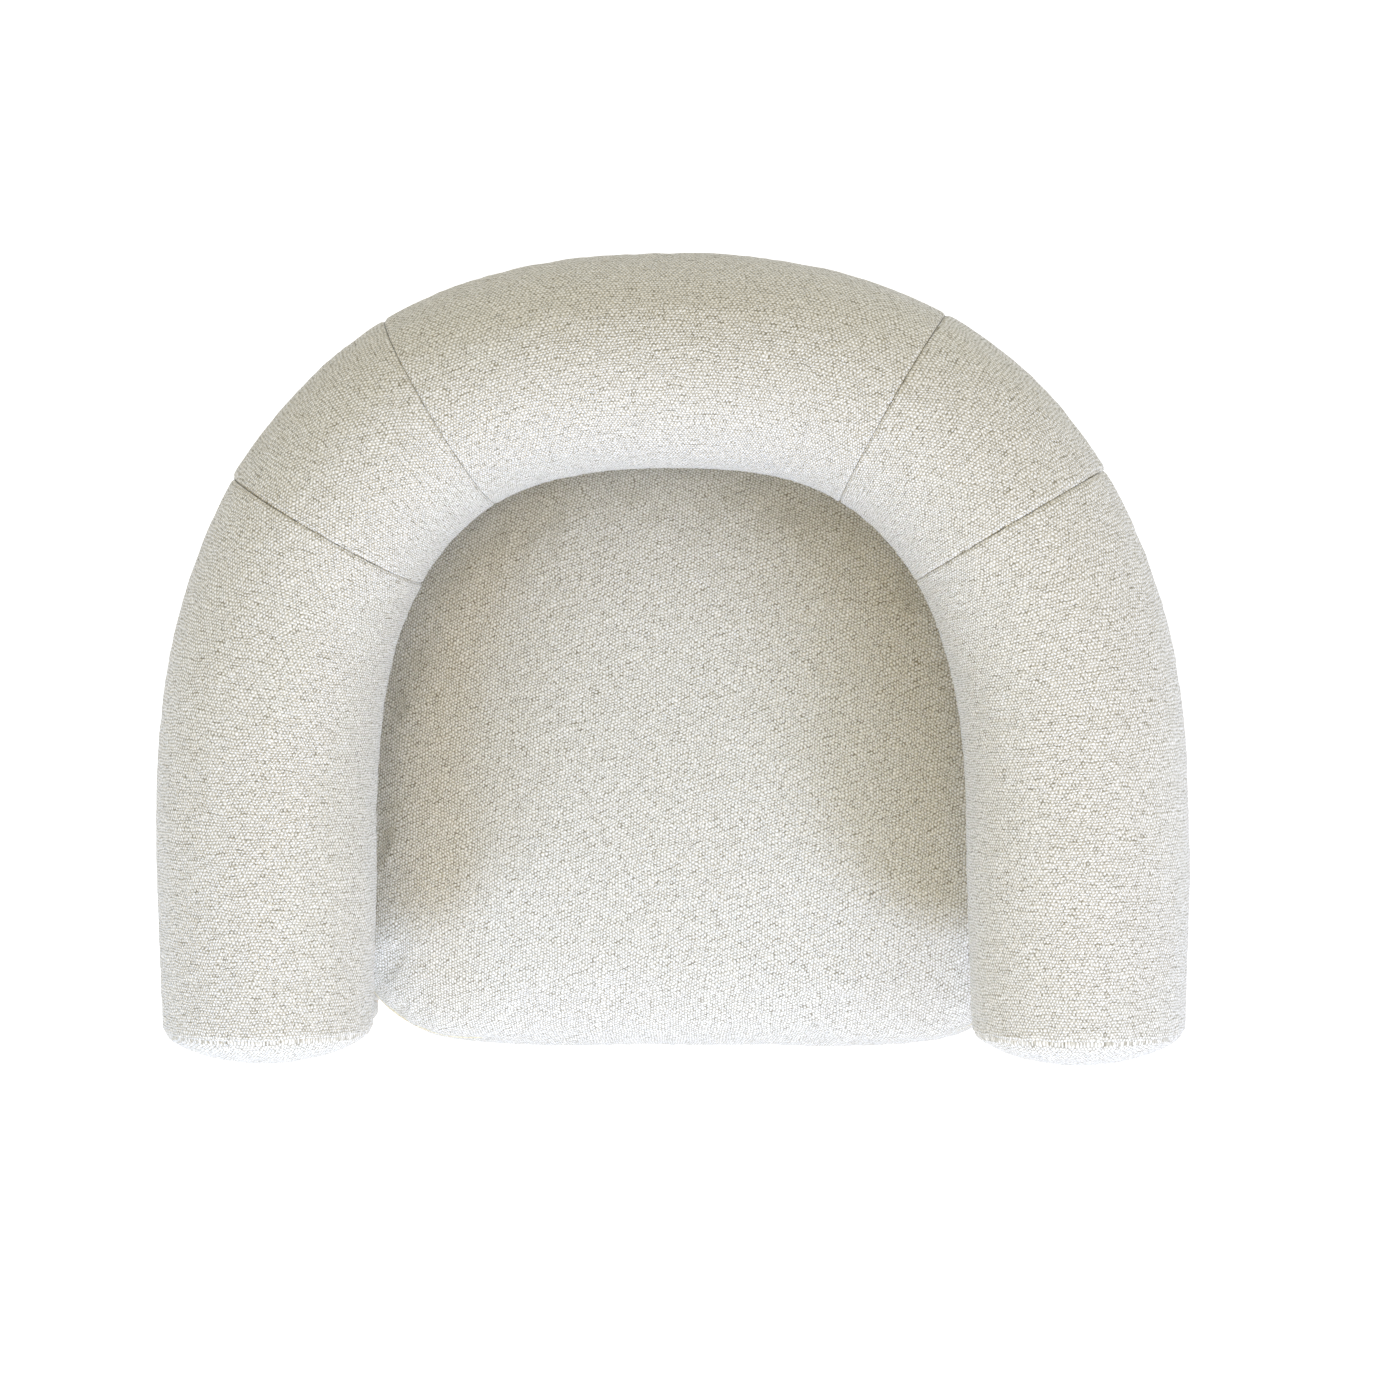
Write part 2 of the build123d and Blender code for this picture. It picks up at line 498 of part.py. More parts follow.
def make_rails():
    """Front, back, side and cross rails with corner blocks, and the ledge on top."""
    inner = SIDE_RAIL_OUTSIDE - RAIL_THICKNESS
    front_inner = -FRONT_RAIL_FACE + RAIL_THICKNESS
    back_inner = BACK_RAIL_FACE - RAIL_THICKNESS
    upright = (BASE_TOP, RAIL_TOP)
    holes = [Pos(x, y, 0) * screw(BOLT_GAP) for x, y in screw_places()]
    rails = {
        "front_rail": block(
            (-SIDE_RAIL_OUTSIDE, SIDE_RAIL_OUTSIDE), (-FRONT_RAIL_FACE, front_inner), upright),
        "back_rail": block((-inner, inner), (back_inner, BACK_RAIL_FACE), upright),
        "left_rail": block((-SIDE_RAIL_OUTSIDE, -inner), (front_inner, BACK_RAIL_FACE), upright),
        "right_rail": block((inner, SIDE_RAIL_OUTSIDE), (front_inner, BACK_RAIL_FACE), upright),
    }
    for name, rail in rails.items():
        for hole in holes:
            rail = rail - hole
        export(name, rail)
    cross_back = back_inner - CROSS_RAIL_SETBACK
    cross_y = (cross_back - RAIL_THICKNESS, cross_back)
    export("cross_rail", block((-inner, inner), cross_y, (BASE_TOP, BASE_TOP + CROSS_RAIL_HEIGHT)))
    triangle = make_face(Polyline((0, 0), (CORNER_BLOCK, 0), (0, CORNER_BLOCK), (0, 0)))
    wedge = Pos(0, 0, BASE_TOP) * extrude(triangle, amount=CORNER_BLOCK_HEIGHT)
    corners = (
        (-inner, front_inner, 0),
        (inner, front_inner, 90),
        (inner, back_inner, 180),
        (-inner, back_inner, 270),
    )
    export("corner_blocks", group(Pos(x, y, 0) * Rot(0, 0, turn) * wedge for x, y, turn in corners))
    ledge = Pos(0, 0, RAIL_TOP) * extrude(seat_outline(FRAME_INSET), amount=LEDGE)
    opening = block((-inner, inner), (front_inner, back_inner), (0, BIG))
    export("seat_ledge", ledge - opening)


def spring_path(start_y, end_y):
    """A zigzag of straight bars joined by half circles, along Y."""
    pitch = (end_y - start_y) / SPRING_BENDS
    bar = SPRING_WIDTH / 2 - pitch / 2
    edges = []
    for bend in range(SPRING_BENDS + 1):
        y = start_y + bend * pitch
        side = 1 if bend % 2 == 0 else -1
        edges.append(Line((-side * bar, y), (side * bar, y)))
        if bend < SPRING_BENDS:
            edges.append(CenterArc((side * bar, y + pitch / 2), pitch / 2, 270, side * 180))
    return Wire(edges)


def make_springs():
    """Sinuous springs across the seat opening, their clips, and the cloth over them."""
    start_y = -FRONT_RAIL_FACE + RAIL_THICKNESS - CLIP_LENGTH / 2
    end_y = BACK_RAIL_FACE - RAIL_THICKNESS + CLIP_LENGTH / 2
    path = spring_path(start_y, end_y)
    wire_z = LEDGE_TOP + SPRING_REST + SPRING_WIRE / 2
    section = Plane(path @ 0, z_dir=path % 0) * Circle(SPRING_WIRE / 2)
    spring = Pos(0, 0, wire_z) * sweep(section, path=path)
    inner = SIDE_RAIL_OUTSIDE - RAIL_THICKNESS
    spacing = 2 * inner / (SPRING_COUNT - 1 + 2 * SPRING_SIDE_SHARE)
    places = [(index - (SPRING_COUNT - 1) / 2) * spacing for index in range(SPRING_COUNT)]
    export("seat_springs", group(Pos(x, 0, 0) * spring for x in places))
    clip_base = block((-CLIP_WIDTH / 2, CLIP_WIDTH / 2), (-CLIP_LENGTH / 2, CLIP_LENGTH / 2),
                      (LEDGE_TOP, LEDGE_TOP + SPRING_REST))
    lip_inside = SPRING_WIRE / 2 + FIT_GAP
    lip = block((-CLIP_WIDTH / 2, CLIP_WIDTH / 2), (-lip_inside - CLIP_WALL, -lip_inside),
                (LEDGE_TOP + SPRING_REST, LEDGE_TOP + SPRING_REST + SPRING_WIRE))
    clip = clip_base + lip
    clips = [Pos(x, start_y, 0) * clip for x in places]
    clips += [Pos(x, end_y, 0) * Rot(0, 0, 180) * clip for x in places]
    export("spring_clips", group(clips))
    cloth = extrude(seat_outline(FRAME_INSET), amount=SPRING_CLOTH)
    export("spring_cover", Pos(0, 0, SPRING_CLOTH_BOTTOM) * cloth)


def main():
    """Build and write every piece."""
    os.makedirs("parts", exist_ok=True)
    make_bolster()
    make_shell()
    make_posts()
    make_arm_fronts()
    make_seat()
    make_feet()
    make_base()
    make_staples()
    make_rails()
    make_springs()


main()
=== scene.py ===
"""Looks of an upholstered tub armchair: a horseshoe bolster over a padded shell, around a crowned seat.

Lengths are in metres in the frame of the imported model: +X right, -Y front, +Z up, floor at z = 0.
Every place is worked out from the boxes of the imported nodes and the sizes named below.
"""
import math

import bpy
import numpy as np
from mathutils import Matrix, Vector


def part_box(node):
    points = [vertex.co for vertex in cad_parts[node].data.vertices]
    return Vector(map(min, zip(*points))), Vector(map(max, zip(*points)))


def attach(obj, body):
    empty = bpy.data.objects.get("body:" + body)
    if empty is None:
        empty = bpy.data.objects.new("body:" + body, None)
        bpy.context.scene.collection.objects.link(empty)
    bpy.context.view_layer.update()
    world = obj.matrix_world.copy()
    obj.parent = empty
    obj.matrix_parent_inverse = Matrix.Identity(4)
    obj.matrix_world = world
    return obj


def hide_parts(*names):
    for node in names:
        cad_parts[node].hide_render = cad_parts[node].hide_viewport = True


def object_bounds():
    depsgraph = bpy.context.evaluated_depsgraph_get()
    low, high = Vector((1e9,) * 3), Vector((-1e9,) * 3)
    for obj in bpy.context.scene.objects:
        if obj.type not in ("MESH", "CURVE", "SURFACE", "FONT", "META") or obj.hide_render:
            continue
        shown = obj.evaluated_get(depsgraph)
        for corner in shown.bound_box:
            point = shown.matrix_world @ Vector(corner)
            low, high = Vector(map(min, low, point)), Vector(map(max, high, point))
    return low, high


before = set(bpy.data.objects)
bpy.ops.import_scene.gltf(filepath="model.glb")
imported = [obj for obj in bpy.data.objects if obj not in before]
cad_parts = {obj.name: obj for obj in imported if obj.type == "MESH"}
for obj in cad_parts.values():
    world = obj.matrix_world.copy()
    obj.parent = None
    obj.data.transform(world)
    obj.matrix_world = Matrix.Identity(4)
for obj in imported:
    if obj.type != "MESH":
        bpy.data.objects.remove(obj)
CAD_LOW, CAD_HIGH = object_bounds()

# ---- Sizes read from the frame ----
POST_LOW, POST_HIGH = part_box("right_middle_post")
ARM_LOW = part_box("right_arm_cover")[0]
CAP_LOW, CAP_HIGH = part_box("right_end_cap")
SEAT_LOW, SEAT_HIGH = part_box("seat_cover")
SHELL_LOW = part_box("inside_shell_cover")[0]
OUTER_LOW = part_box("outside_back_cover")[0]
RIGHT_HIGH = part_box("outside_right_cover")[1]
FRONT_LOW, FRONT_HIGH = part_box("right_arm_front_cover")
BORDER_LOW, BORDER_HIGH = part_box("front_border_cover")
DUST_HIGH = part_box("dust_cover")[1]
SPRING_CLOTH_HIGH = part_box("spring_cover")[1]

# ---- Bolster ----
TILT = math.radians(7.5)
CAD_RADIUS = (CAP_HIGH.x - CAP_LOW.x) / 2
ARM_RADIUS = CAD_RADIUS + 0.003        # thickest along the arms
END_RADIUS = CAD_RADIUS - 0.0025       # where the end caps are sewn on
BACK_RADIUS = CAD_RADIUS - 0.001
WIDEST_Y = (POST_LOW.y + POST_HIGH.y) / 2
ARM_LENGTH = WIDEST_Y - ARM_LOW.y - CAD_RADIUS * math.sin(TILT)
SIDE_INSET = 0.0015                    # room for the relief, which stands outside the path
BACK_INSET = 0.003
HALF_WIDTH = CAD_HIGH.x - ARM_RADIUS - SIDE_INSET
REACH = CAD_HIGH.y - BACK_RADIUS - WIDEST_Y - BACK_INSET
BACK_Z = CAD_HIGH.z - BACK_RADIUS
HORSESHOE_POWER = 2.49                 # of the superellipse that the roll follows
ARM_SEAM = math.radians(30.0)          # direction that the roll's outside faces at each seam
BACK_SEAM = math.radians(59.5)
CAP_CROWN = 0.029
CAP_TUCK = -0.003                      # height of the turned-in rim behind a cap
SEAM_DEPTH = 0.0015
SEAM_WIDTH = 0.0019
PUCKER_HEIGHT = 0.00035
PUCKER_SPACING = 0.017
FOAM_INSET = 0.006

# ---- Shell, seat and base ----
COVER = 0.002
UNDER_COVER = COVER + 0.0003            # depth of the foam under a cover
INSIDE_PAD = 0.018
OUTSIDE_PAD = 0.012
SHELL_POWER = 2.56                     # of the superellipse that the shell follows
PILLOW = 0.003                         # how far an outside cover swells past its flat face
FOOT_ROUND = 0.006                     # rounding of the covers' lower edge
FRONT_ROUND = 0.011                    # rounding of an arm front's upright edges
FRONT_CROWN = 0.004
FRONT_COVER = 0.0016                   # thickness of an arm front's cover
FRONT_OVERLAP = 0.002                  # how far it runs back over the side covers
FRONT_FOAM_INSET = 0.0004
FRONT_FOAM_LIFT = 0.0005
LINING_PROUD = 0.0008                  # how far the lining stands in front of the base's edge
LINING_PILLOW = 0.001
BORDER_SWELL = 0.003
WALL_STEP, WALL_FOAM_STEP, WALL_FOAM_FINE = 0.004, 0.012, 0.003
FRONT_GROWTH = 0.0014                  # how far an arm front's cover stands outside its board
SHELL_INSIDE = FRONT_LOW.x - (CAD_HIGH.x - CAD_RADIUS)
SHELL_OUTSIDE = RIGHT_HIGH.x - (CAD_HIGH.x - CAD_RADIUS)
SEAT_OFFSET = SEAT_HIGH.x - (CAD_HIGH.x - CAD_RADIUS)
SEAT_CORNER = 0.120
SEAT_EDGE_ROUND = 0.036
CROWN_SETBACK = 0.225                  # the crown is highest this far in front of the roll's rear centre
SIDE_FALL, SIDE_POWER = 0.757, 2.24    # the seat falls away from its crown by a power of the distance
FRONT_FALL, FRONT_POWER = 1.465, 2.97
BACK_FALL, BACK_POWER = 1.06, 2.0
BORDER_INSET = SEAT_HIGH.x - BORDER_HIGH.x
INNER_FACE = FRONT_LOW.x               # inside face of the shell's right side
FRAME_GAP = INNER_FACE - SPRING_CLOTH_HIGH.x
FRAME_INSET = SEAT_HIGH.x - SPRING_CLOTH_HIGH.x
TUCK = 0.006                           # how far a cover runs up under the roll

SEAT_VOXEL = 0.008                     # grid of the blown-up copy of the seat
SEAT_RISE = 0.006                      # most that the seat may swell
SEAT_HELD = 0.05                       # height of the underside that is held while it is blown up
SEAT_FOAM_INSET = 0.009

# ---- Feet and sheets ----
FOOT_TAPER = 0.75                      # lower radius as a share of the upper
FOOT_EDGE, FOOT_EDGE_SHARE = 0.004, 0.10
FOOT_BEAD, FOOT_BEAD_SHARE, FOOT_BEAD_WIDTH = 0.0016, 0.86, 0.015
DUST_THICKNESS, DUST_GAP = 0.0006, 0.0004
DUST_SAG, DUST_RIPPLE, DUST_RIPPLE_CELL = 0.0015, 0.0005, 0.05
HESSIAN_THICKNESS, HESSIAN_GAP, HESSIAN_DIP = 0.0009, 0.0001, 0.0006
SPRING_SPACING = 0.077

# ---- Boucle ----
NUB_ROW = 0.00262                      # distance between rows of nubs
SEAT_WEAVE = math.radians(24)          # the rows run at this angle across the seat
GRID = 0.0021                          # spacing of the mesh on the large covers


# ==== Paths ====
def horseshoe(half_width, reach, arm, exponent=HORSESHOE_POWER):
    """Points 1 mm apart along the plan horseshoe, from the right arm's end round to the left.

    A straight arm, then |x/a|^n + |y/b|^n = 1 written as x = a cos^(2/n), y = b sin^(2/n), then an arm.
    """
    turn = np.linspace(0, math.pi, 6001)
    power = 2 / exponent
    x = half_width * np.sign(np.cos(turn)) * np.abs(np.cos(turn)) ** power
    y = reach * np.abs(np.sin(turn)) ** power
    run = np.linspace(-arm, 0, 200, endpoint=False)
    x = np.concatenate([np.full_like(run, half_width), x, np.full_like(run, -half_width)])
    y = np.concatenate([run, y, run[::-1]])
    length = np.concatenate([[0], np.cumsum(np.hypot(np.diff(x), np.diff(y)))])
    even = np.arange(0, length[-1], 0.001)
    return np.stack([np.interp(even, length, x), np.interp(even, length, y) + WIDEST_Y], axis=1)


def lengths(points):
    """Distance of each plan point from the first, along the path."""
    return np.concatenate([[0], np.cumsum(np.hypot(*np.diff(points, axis=0).T))])


def outward(plan):
    """Outward directions of a plan path: its tangents turned by a right angle."""
    along = np.gradient(plan, axis=0)
    along /= np.linalg.norm(along, axis=1)[:, None]
    return np.stack([along[:, 1], -along[:, 0]], -1)


def slope_z(y):
    """Height of the roll's centre plane: it falls to the front by the tilt."""
    return BACK_Z - (WIDEST_Y + REACH - y) * math.tan(TILT)


def bolster_frame():
    """The roll's centreline with its along, outward and upward directions, by distance along it."""
    plan = horseshoe(HALF_WIDTH, REACH, ARM_LENGTH)
    centre = np.column_stack([plan, slope_z(plan[:, 1])])
    along = np.gradient(centre, axis=0)
    along /= np.linalg.norm(along, axis=1)[:, None]
    up = np.array([0, -math.sin(TILT), math.cos(TILT)])
    out = np.cross(along, up)
    out /= np.linalg.norm(out, axis=1)[:, None]
    distance = np.concatenate([[0], np.cumsum(np.linalg.norm(np.diff(centre, axis=0), axis=1))])
    return {"s": distance, "centre": centre, "along": along, "out": out, "up": up}


ROLL = bolster_frame()
ROLL_LENGTH = ROLL["s"][-1]


def on_roll(part, s):
    """One of the roll's directions or its centre at the distances s."""
    return np.stack([np.interp(s, ROLL["s"], ROLL[part][:, axis]) for axis in range(3)], axis=-1)


def distance_where_facing(angle):
    """Distance along the roll at which its outside faces an angle from +X."""
    half = len(ROLL["s"]) // 2
    facing = np.arctan2(ROLL["out"][:half, 1], ROLL["out"][:half, 0])
    return float(np.interp(angle, facing, ROLL["s"][:half]))


def roll_radius(s):
    """The roll is thickest along the arms and a little thinner at the sewn ends and round the back."""
    y = on_roll("centre", s)[..., 1] - WIDEST_Y
    front = np.clip(1 + y / ARM_LENGTH, 0, 1) ** 0.7
    back = np.clip(y / REACH, 0, 1) ** 1.5
    return END_RADIUS + (ARM_RADIUS - END_RADIUS) * front + (BACK_RADIUS - ARM_RADIUS) * back


# ==== Surface detail ====
def soft_noise(a, b, seed, wrap=None):
    """Smooth random values from -1 to 1: a random grid, faded between its four nearest corners.

    a and b are counted in grid cells; wrap closes a after that many cells.
    """
    cell_a, cell_b = np.floor(a).astype(int), np.floor(b).astype(int)
    part_a, part_b = a - cell_a, b - cell_b
    part_a = part_a * part_a * (3 - 2 * part_a)
    part_b = part_b * part_b * (3 - 2 * part_b)
    cell_b -= cell_b.min()
    if wrap is None:
        cell_a -= cell_a.min()
        wrap = cell_a.max() + 2
    table = np.random.default_rng(seed).uniform(-1, 1, (wrap, cell_b.max() + 2))
    low, high = cell_a % wrap, (cell_a + 1) % wrap
    near = table[low, cell_b] * (1 - part_a) + table[high, cell_b] * part_a
    far = table[low, cell_b + 1] * (1 - part_a) + table[high, cell_b + 1] * part_a
    return near * (1 - part_b) + far * part_b


def boucle_relief(a, b, seed, around=None):
    """Height of the cloth's loops and of slightly uneven stuffing under it, in metres.

    Three layers of soft noise, with cells of 65, 13 and 6 mm. around is the length after which a closes.
    """
    height = np.zeros(np.broadcast(a, b).shape)
    for layer, (cell, rise) in enumerate(((0.065, 0.0010), (0.013, 0.00035), (0.006, 0.00035))):
        wrap = None if around is None else max(3, round(around / cell))
        scale = 1 / cell if around is None else wrap / around
        height += rise * soft_noise(a * scale, b / cell, seed + layer, wrap)
    return height


def seam_dip(distance):
    """A sewn seam: a narrow bell-shaped groove."""
    return -SEAM_DEPTH * np.exp(-(distance / SEAM_WIDTH) ** 2)


def pucker(distance, across, seed):
    """Short gathers beside a seam: a wave along the seam that dies away from it."""
    wobble = soft_noise(across / 0.06, distance * 0, seed)
    wave = np.sin(2 * math.pi * across / PUCKER_SPACING + 3 * wobble)
    return PUCKER_HEIGHT * wave * np.exp(-distance / 0.012) * (1 - np.exp(-distance / 0.003))


def spaced(start, end, step, fine=0.0008, border=0.010):
    """Distances from start to end, closer together near both ends, where the seams are."""
    edge = np.arange(0, border, fine)
    middle = np.linspace(start + border, end - border, max(2, math.ceil((end - start - 2 * border) / step)))
    return np.concatenate([start + edge, middle, end - edge[::-1]])


def rising(fine, count):
    """Shares from 0 to 1, closer together up to the share fine, where a foot is rounded."""
    return np.concatenate([np.linspace(0, fine, 10, endpoint=False), np.linspace(fine, 1, count)])


# ==== Meshes ====
def closing(weave):
    """A weave with its first column again at the end."""
    return np.concatenate([weave, weave[:, :1]], axis=1)


def enclosed(points, part):
    """Volume enclosed by one list of faces, each cut into triangles from its first corner."""
    corners = points[part]
    first = corners[:, :1]
    return np.sum(first * np.cross(corners[:, 1:-1], corners[:, 2:])) / 6


def new_object(name, points, faces, weave):
    """An object from points, lists of faces with equal corner counts, and a weave position per corner.

    Faces that run inwards are turned over, by the sign of the volume that they enclose.
    """
    mesh = bpy.data.meshes.new(name)
    corners = np.concatenate([part.ravel() for part in faces])
    sizes = np.concatenate([np.full(len(part), part.shape[1]) for part in faces])
    mesh.vertices.add(len(points))
    mesh.vertices.foreach_set("co", np.ascontiguousarray(points, dtype=np.float32).ravel())
    mesh.loops.add(len(corners))
    mesh.loops.foreach_set("vertex_index", corners.astype(np.int32))
    mesh.polygons.add(len(sizes))
    mesh.polygons.foreach_set("loop_start", np.concatenate([[0], np.cumsum(sizes)[:-1]]).astype(np.int32))
    mesh.update(calc_edges=True)
    layer = mesh.uv_layers.new(name="weave")
    layer.data.foreach_set("uv", np.ascontiguousarray(weave, dtype=np.float32).ravel())
    mesh.polygons.foreach_set("use_smooth", np.ones(len(sizes), dtype=bool))
    if sum(enclosed(points, part) for part in faces) < 0:
        mesh.flip_normals()
    mesh.validate()
    obj = bpy.data.objects.new(name, mesh)
    bpy.context.scene.collection.objects.link(obj)
    return obj


def tube(name, rows, weave):
    """A closed solid from rows of section points; each row is a closed loop with an even count.

    The sides are quads between rows, and each end is a strip of quads across its loop. weave holds one
    column more than rows, so that the pattern does not run backwards over the closing column.
    """
    count, around = rows.shape[:2]
    i, j = np.meshgrid(np.arange(count - 1), np.arange(around), indexing="ij")
    k = (j + 1) % around
    sides = np.stack([i * around + j, (i + 1) * around + j, (i + 1) * around + k, i * around + k], -1)
    step = np.stack([np.stack([i, j], -1), np.stack([i + 1, j], -1),
                     np.stack([i + 1, j + 1], -1), np.stack([i, j + 1], -1)], -2)
    side_weave = weave[step[..., 0], step[..., 1]]
    n = np.arange(around // 2 - 1)
    strip = np.stack([n, n + 1, around - 2 - n, around - 1 - n], -1)
    last = (count - 1) * around + strip[:, ::-1]
    faces = [sides.reshape(-1, 4), strip, last]
    flat = np.concatenate([side_weave.reshape(-1, 2), weave[0][strip].reshape(-1, 2),
                           weave[-1][strip[:, ::-1]].reshape(-1, 2)])
    return new_object(name, rows.reshape(-1, 3), faces, flat)


def disc(name, rings, weave):
    """A closed solid from rings of points that shrink to a pole at both ends.

    rings is (count, around, 3); the first and last rings are joined to their own middle points.
    """
    count, around = rings.shape[:2]
    i, j = np.meshgrid(np.arange(count - 1), np.arange(around), indexing="ij")
    k = (j + 1) % around
    sides = np.stack([i * around + j, (i + 1) * around + j, (i + 1) * around + k, i * around + k], -1)
    first, final = count * around, count * around + 1
    edge = np.arange(around)
    after = (edge + 1) % around
    start = np.stack([np.full(around, first), edge, after], -1)
    end = np.stack([np.full(around, final), (count - 1) * around + after, (count - 1) * around + edge], -1)
    poles = np.stack([rings[0].mean(0), rings[-1].mean(0)])
    points = np.concatenate([rings.reshape(-1, 3), poles])
    flat = np.concatenate([weave.reshape(-1, 2), weave[0].mean(0)[None], weave[-1].mean(0)[None]])
    faces = [sides.reshape(-1, 4), start, end]
    return new_object(name, points, faces, np.concatenate([flat[part.ravel()] for part in faces]))


def swell(obj, height):
    """Push each vertex of an object along its normal by a height."""
    count = len(obj.data.vertices)
    place = np.empty(count * 3, dtype=np.float32)
    normal = np.empty(count * 3, dtype=np.float32)
    obj.data.vertices.foreach_get("co", place)
    obj.data.vertices.foreach_get("normal", normal)
    place = place.reshape(-1, 3) + normal.reshape(-1, 3) * np.asarray(height)[:, None]
    obj.data.vertices.foreach_set("co", place.astype(np.float32).ravel())
    obj.data.update()


# ==== Materials ====
def put(tree, kind, sockets=None, **settings):
    """Add a node, set its properties, and set or link its inputs."""
    node = tree.nodes.new(kind)
    for name, value in settings.items():
        setattr(node, name, value)
    for name, value in (sockets or {}).items():
        if isinstance(value, bpy.types.NodeSocket):
            tree.links.new(value, node.inputs[name])
        else:
            node.inputs[name].default_value = value
    return node


def object_place(tree):
    """Each point's place in the object's own axes."""
    return put(tree, "ShaderNodeTexCoord").outputs["Object"]


def maths(tree, operation, first, second=0.0):
    """The result of a two-input math node."""
    return put(tree, "ShaderNodeMath", {0: first, 1: second}, operation=operation).outputs[0]


def vectors(tree, operation, first, second=(0, 0, 0)):
    """The vector or value that a vector math node gives."""
    node = put(tree, "ShaderNodeVectorMath", {0: first, 1: second}, operation=operation)
    return node.outputs["Value" if operation == "DOT_PRODUCT" else "Vector"]


def noise(tree, vector, scale, detail=2.0, output="Fac"):
    """A noise texture's output on a vector."""
    node = put(tree, "ShaderNodeTexNoise", {"Vector": vector, "Scale": scale, "Detail": detail})
    return node.outputs[output]


def stretched(tree, vector, scale, turn=(0, 0, 0)):
    """A vector turned and scaled axis by axis."""
    return put(tree, "ShaderNodeMapping", {"Vector": vector, "Scale": scale, "Rotation": turn}).outputs[0]


def ramp(tree, value, stops):
    """A colour ramp with (position, colour) stops."""
    node = put(tree, "ShaderNodeValToRGB", {"Fac": value})
    elements = node.color_ramp.elements
    elements[0].position, elements[0].color = stops[0][0], (*stops[0][1], 1)
    elements[1].position, elements[1].color = stops[-1][0], (*stops[-1][1], 1)
    for position, colour in stops[1:-1]:
        elements.new(position).color = (*colour, 1)
    return node.outputs["Color"]


def fade(tree, value, low, high, to_low=0.0, to_high=1.0):
    """A value mapped from one range to another and held at its ends."""
    return put(tree, "ShaderNodeMapRange", {
        "Value": value, "From Min": low, "From Max": high, "To Min": to_low, "To Max": to_high}).outputs[0]


def material(name, **surface):
    """A material with a Principled shader; returns it with its tree and shader."""
    made = bpy.data.materials.new(name)
    made.use_nodes = True
    tree = made.node_tree
    tree.nodes.clear()
    shader = put(tree, "ShaderNodeBsdfPrincipled", surface)
    put(tree, "ShaderNodeOutputMaterial", {"Surface": shader.outputs[0]})
    return made, tree, shader


def finish_material(tree, shader, colour, height, distance, strength=1.0):
    """Link a colour and a bump height to the shader."""
    tree.links.new(colour, shader.inputs["Base Color"])
    bump = put(tree, "ShaderNodeBump", {"Height": height, "Distance": distance, "Strength": strength})
    tree.links.new(bump.outputs[0], shader.inputs["Normal"])


def boucle(name="boucle"):
    """Cream boucle: three crossing waves make hexagonal rows of nubs, warped and broken by noise.

    Stretched noise lays short darker dashes along the rows where loops sink into the cloth; their darkness
    is painted shade. The colour follows the height, so the gaps between nubs are painted dark as shade and
    the nub tops are painted near white as highlights.
    """
    made, tree, shader = material(name, **{
        "Roughness": 0.95, "Specular IOR Level": 0.15, "Sheen Weight": 0.25, "Sheen Roughness": 0.6})
    cloth = put(tree, "ShaderNodeUVMap", uv_map="weave").outputs[0]
    placed = cloth
    for scale, amount in ((420.0, 0.0009), (150.0, 0.0026), (45.0, 0.0060)):
        push = vectors(tree, "SUBTRACT", noise(tree, cloth, scale, 1.0, "Color"), (0.5, 0.5, 0.5))
        placed = vectors(tree, "ADD", placed, vectors(tree, "MULTIPLY", push, (amount,) * 3))
    total = 0.0
    for angle in (math.radians(90), math.radians(30), math.radians(150)):
        ripple = (2 * math.pi / NUB_ROW * math.cos(angle), 2 * math.pi / NUB_ROW * math.sin(angle), 0)
        wave = maths(tree, "COSINE", vectors(tree, "DOT_PRODUCT", placed, ripple))
        total = maths(tree, "ADD", wave, total)
    nubs = maths(tree, "MULTIPLY", fade(tree, total, -1.5, 3.0), 0.62)
    uneven = maths(tree, "MULTIPLY", noise(tree, cloth, 330.0, 2.0), 0.62)
    dashes = fade(tree, noise(tree, stretched(tree, placed, (110, 300, 1)), 1.0, 1.5), 0.54, 0.74)
    height = maths(tree, "ADD", nubs, uneven)
    height = maths(tree, "SUBTRACT", height, maths(tree, "MULTIPLY", dashes, 0.16))
    # painted shade and painted highlight: low places (gaps between nubs, sunk dashes) take dark olive, and
    # the high nub tops take near white
    colour = ramp(tree, height, (
        (0.20, (0.27, 0.25, 0.19)), (0.42, (0.62, 0.60, 0.53)), (0.62, (0.88, 0.87, 0.83)),
        (0.82, (0.96, 0.955, 0.93))))
    finish_material(tree, shader, colour, height, 0.0014, 0.9)
    return made


def wood(name, light, dark, scale, roughness, coat=0.0):
    """Wood: noise stretched along the grain gives streaks, with fine pores across it."""
    made, tree, shader = material(name, **{"Roughness": roughness, "Coat Weight": coat})
    place = object_place(tree)
    streaks = noise(tree, stretched(tree, place, scale), 9.0, 6.0)
    pores = noise(tree, stretched(tree, place, tuple(4 * part for part in scale)), 60.0, 2.0)
    mixed = maths(tree, "ADD", maths(tree, "MULTIPLY", streaks, 0.8), maths(tree, "MULTIPLY", pores, 0.2))
    colour = ramp(tree, mixed, ((0.3, dark), (0.65, light)))
    finish_material(tree, shader, colour, mixed, 0.0004, 0.5)
    return made


def plywood(name="plywood"):
    """Plywood: streaked faces, with thin plies stacked along Z."""
    made, tree, shader = material(name, **{"Roughness": 0.7})
    place = object_place(tree)
    streaks = noise(tree, stretched(tree, place, (1, 8, 8)), 12.0, 5.0)
    plies = maths(tree, "SINE", vectors(tree, "DOT_PRODUCT", place, (0, 0, 2 * math.pi / 0.003)))
    mixed = maths(tree, "ADD", streaks, maths(tree, "MULTIPLY", plies, 0.08))
    colour = ramp(tree, mixed, ((0.25, (0.42, 0.27, 0.14)), (0.7, (0.78, 0.62, 0.42))))
    finish_material(tree, shader, colour, mixed, 0.0003, 0.5)
    return made


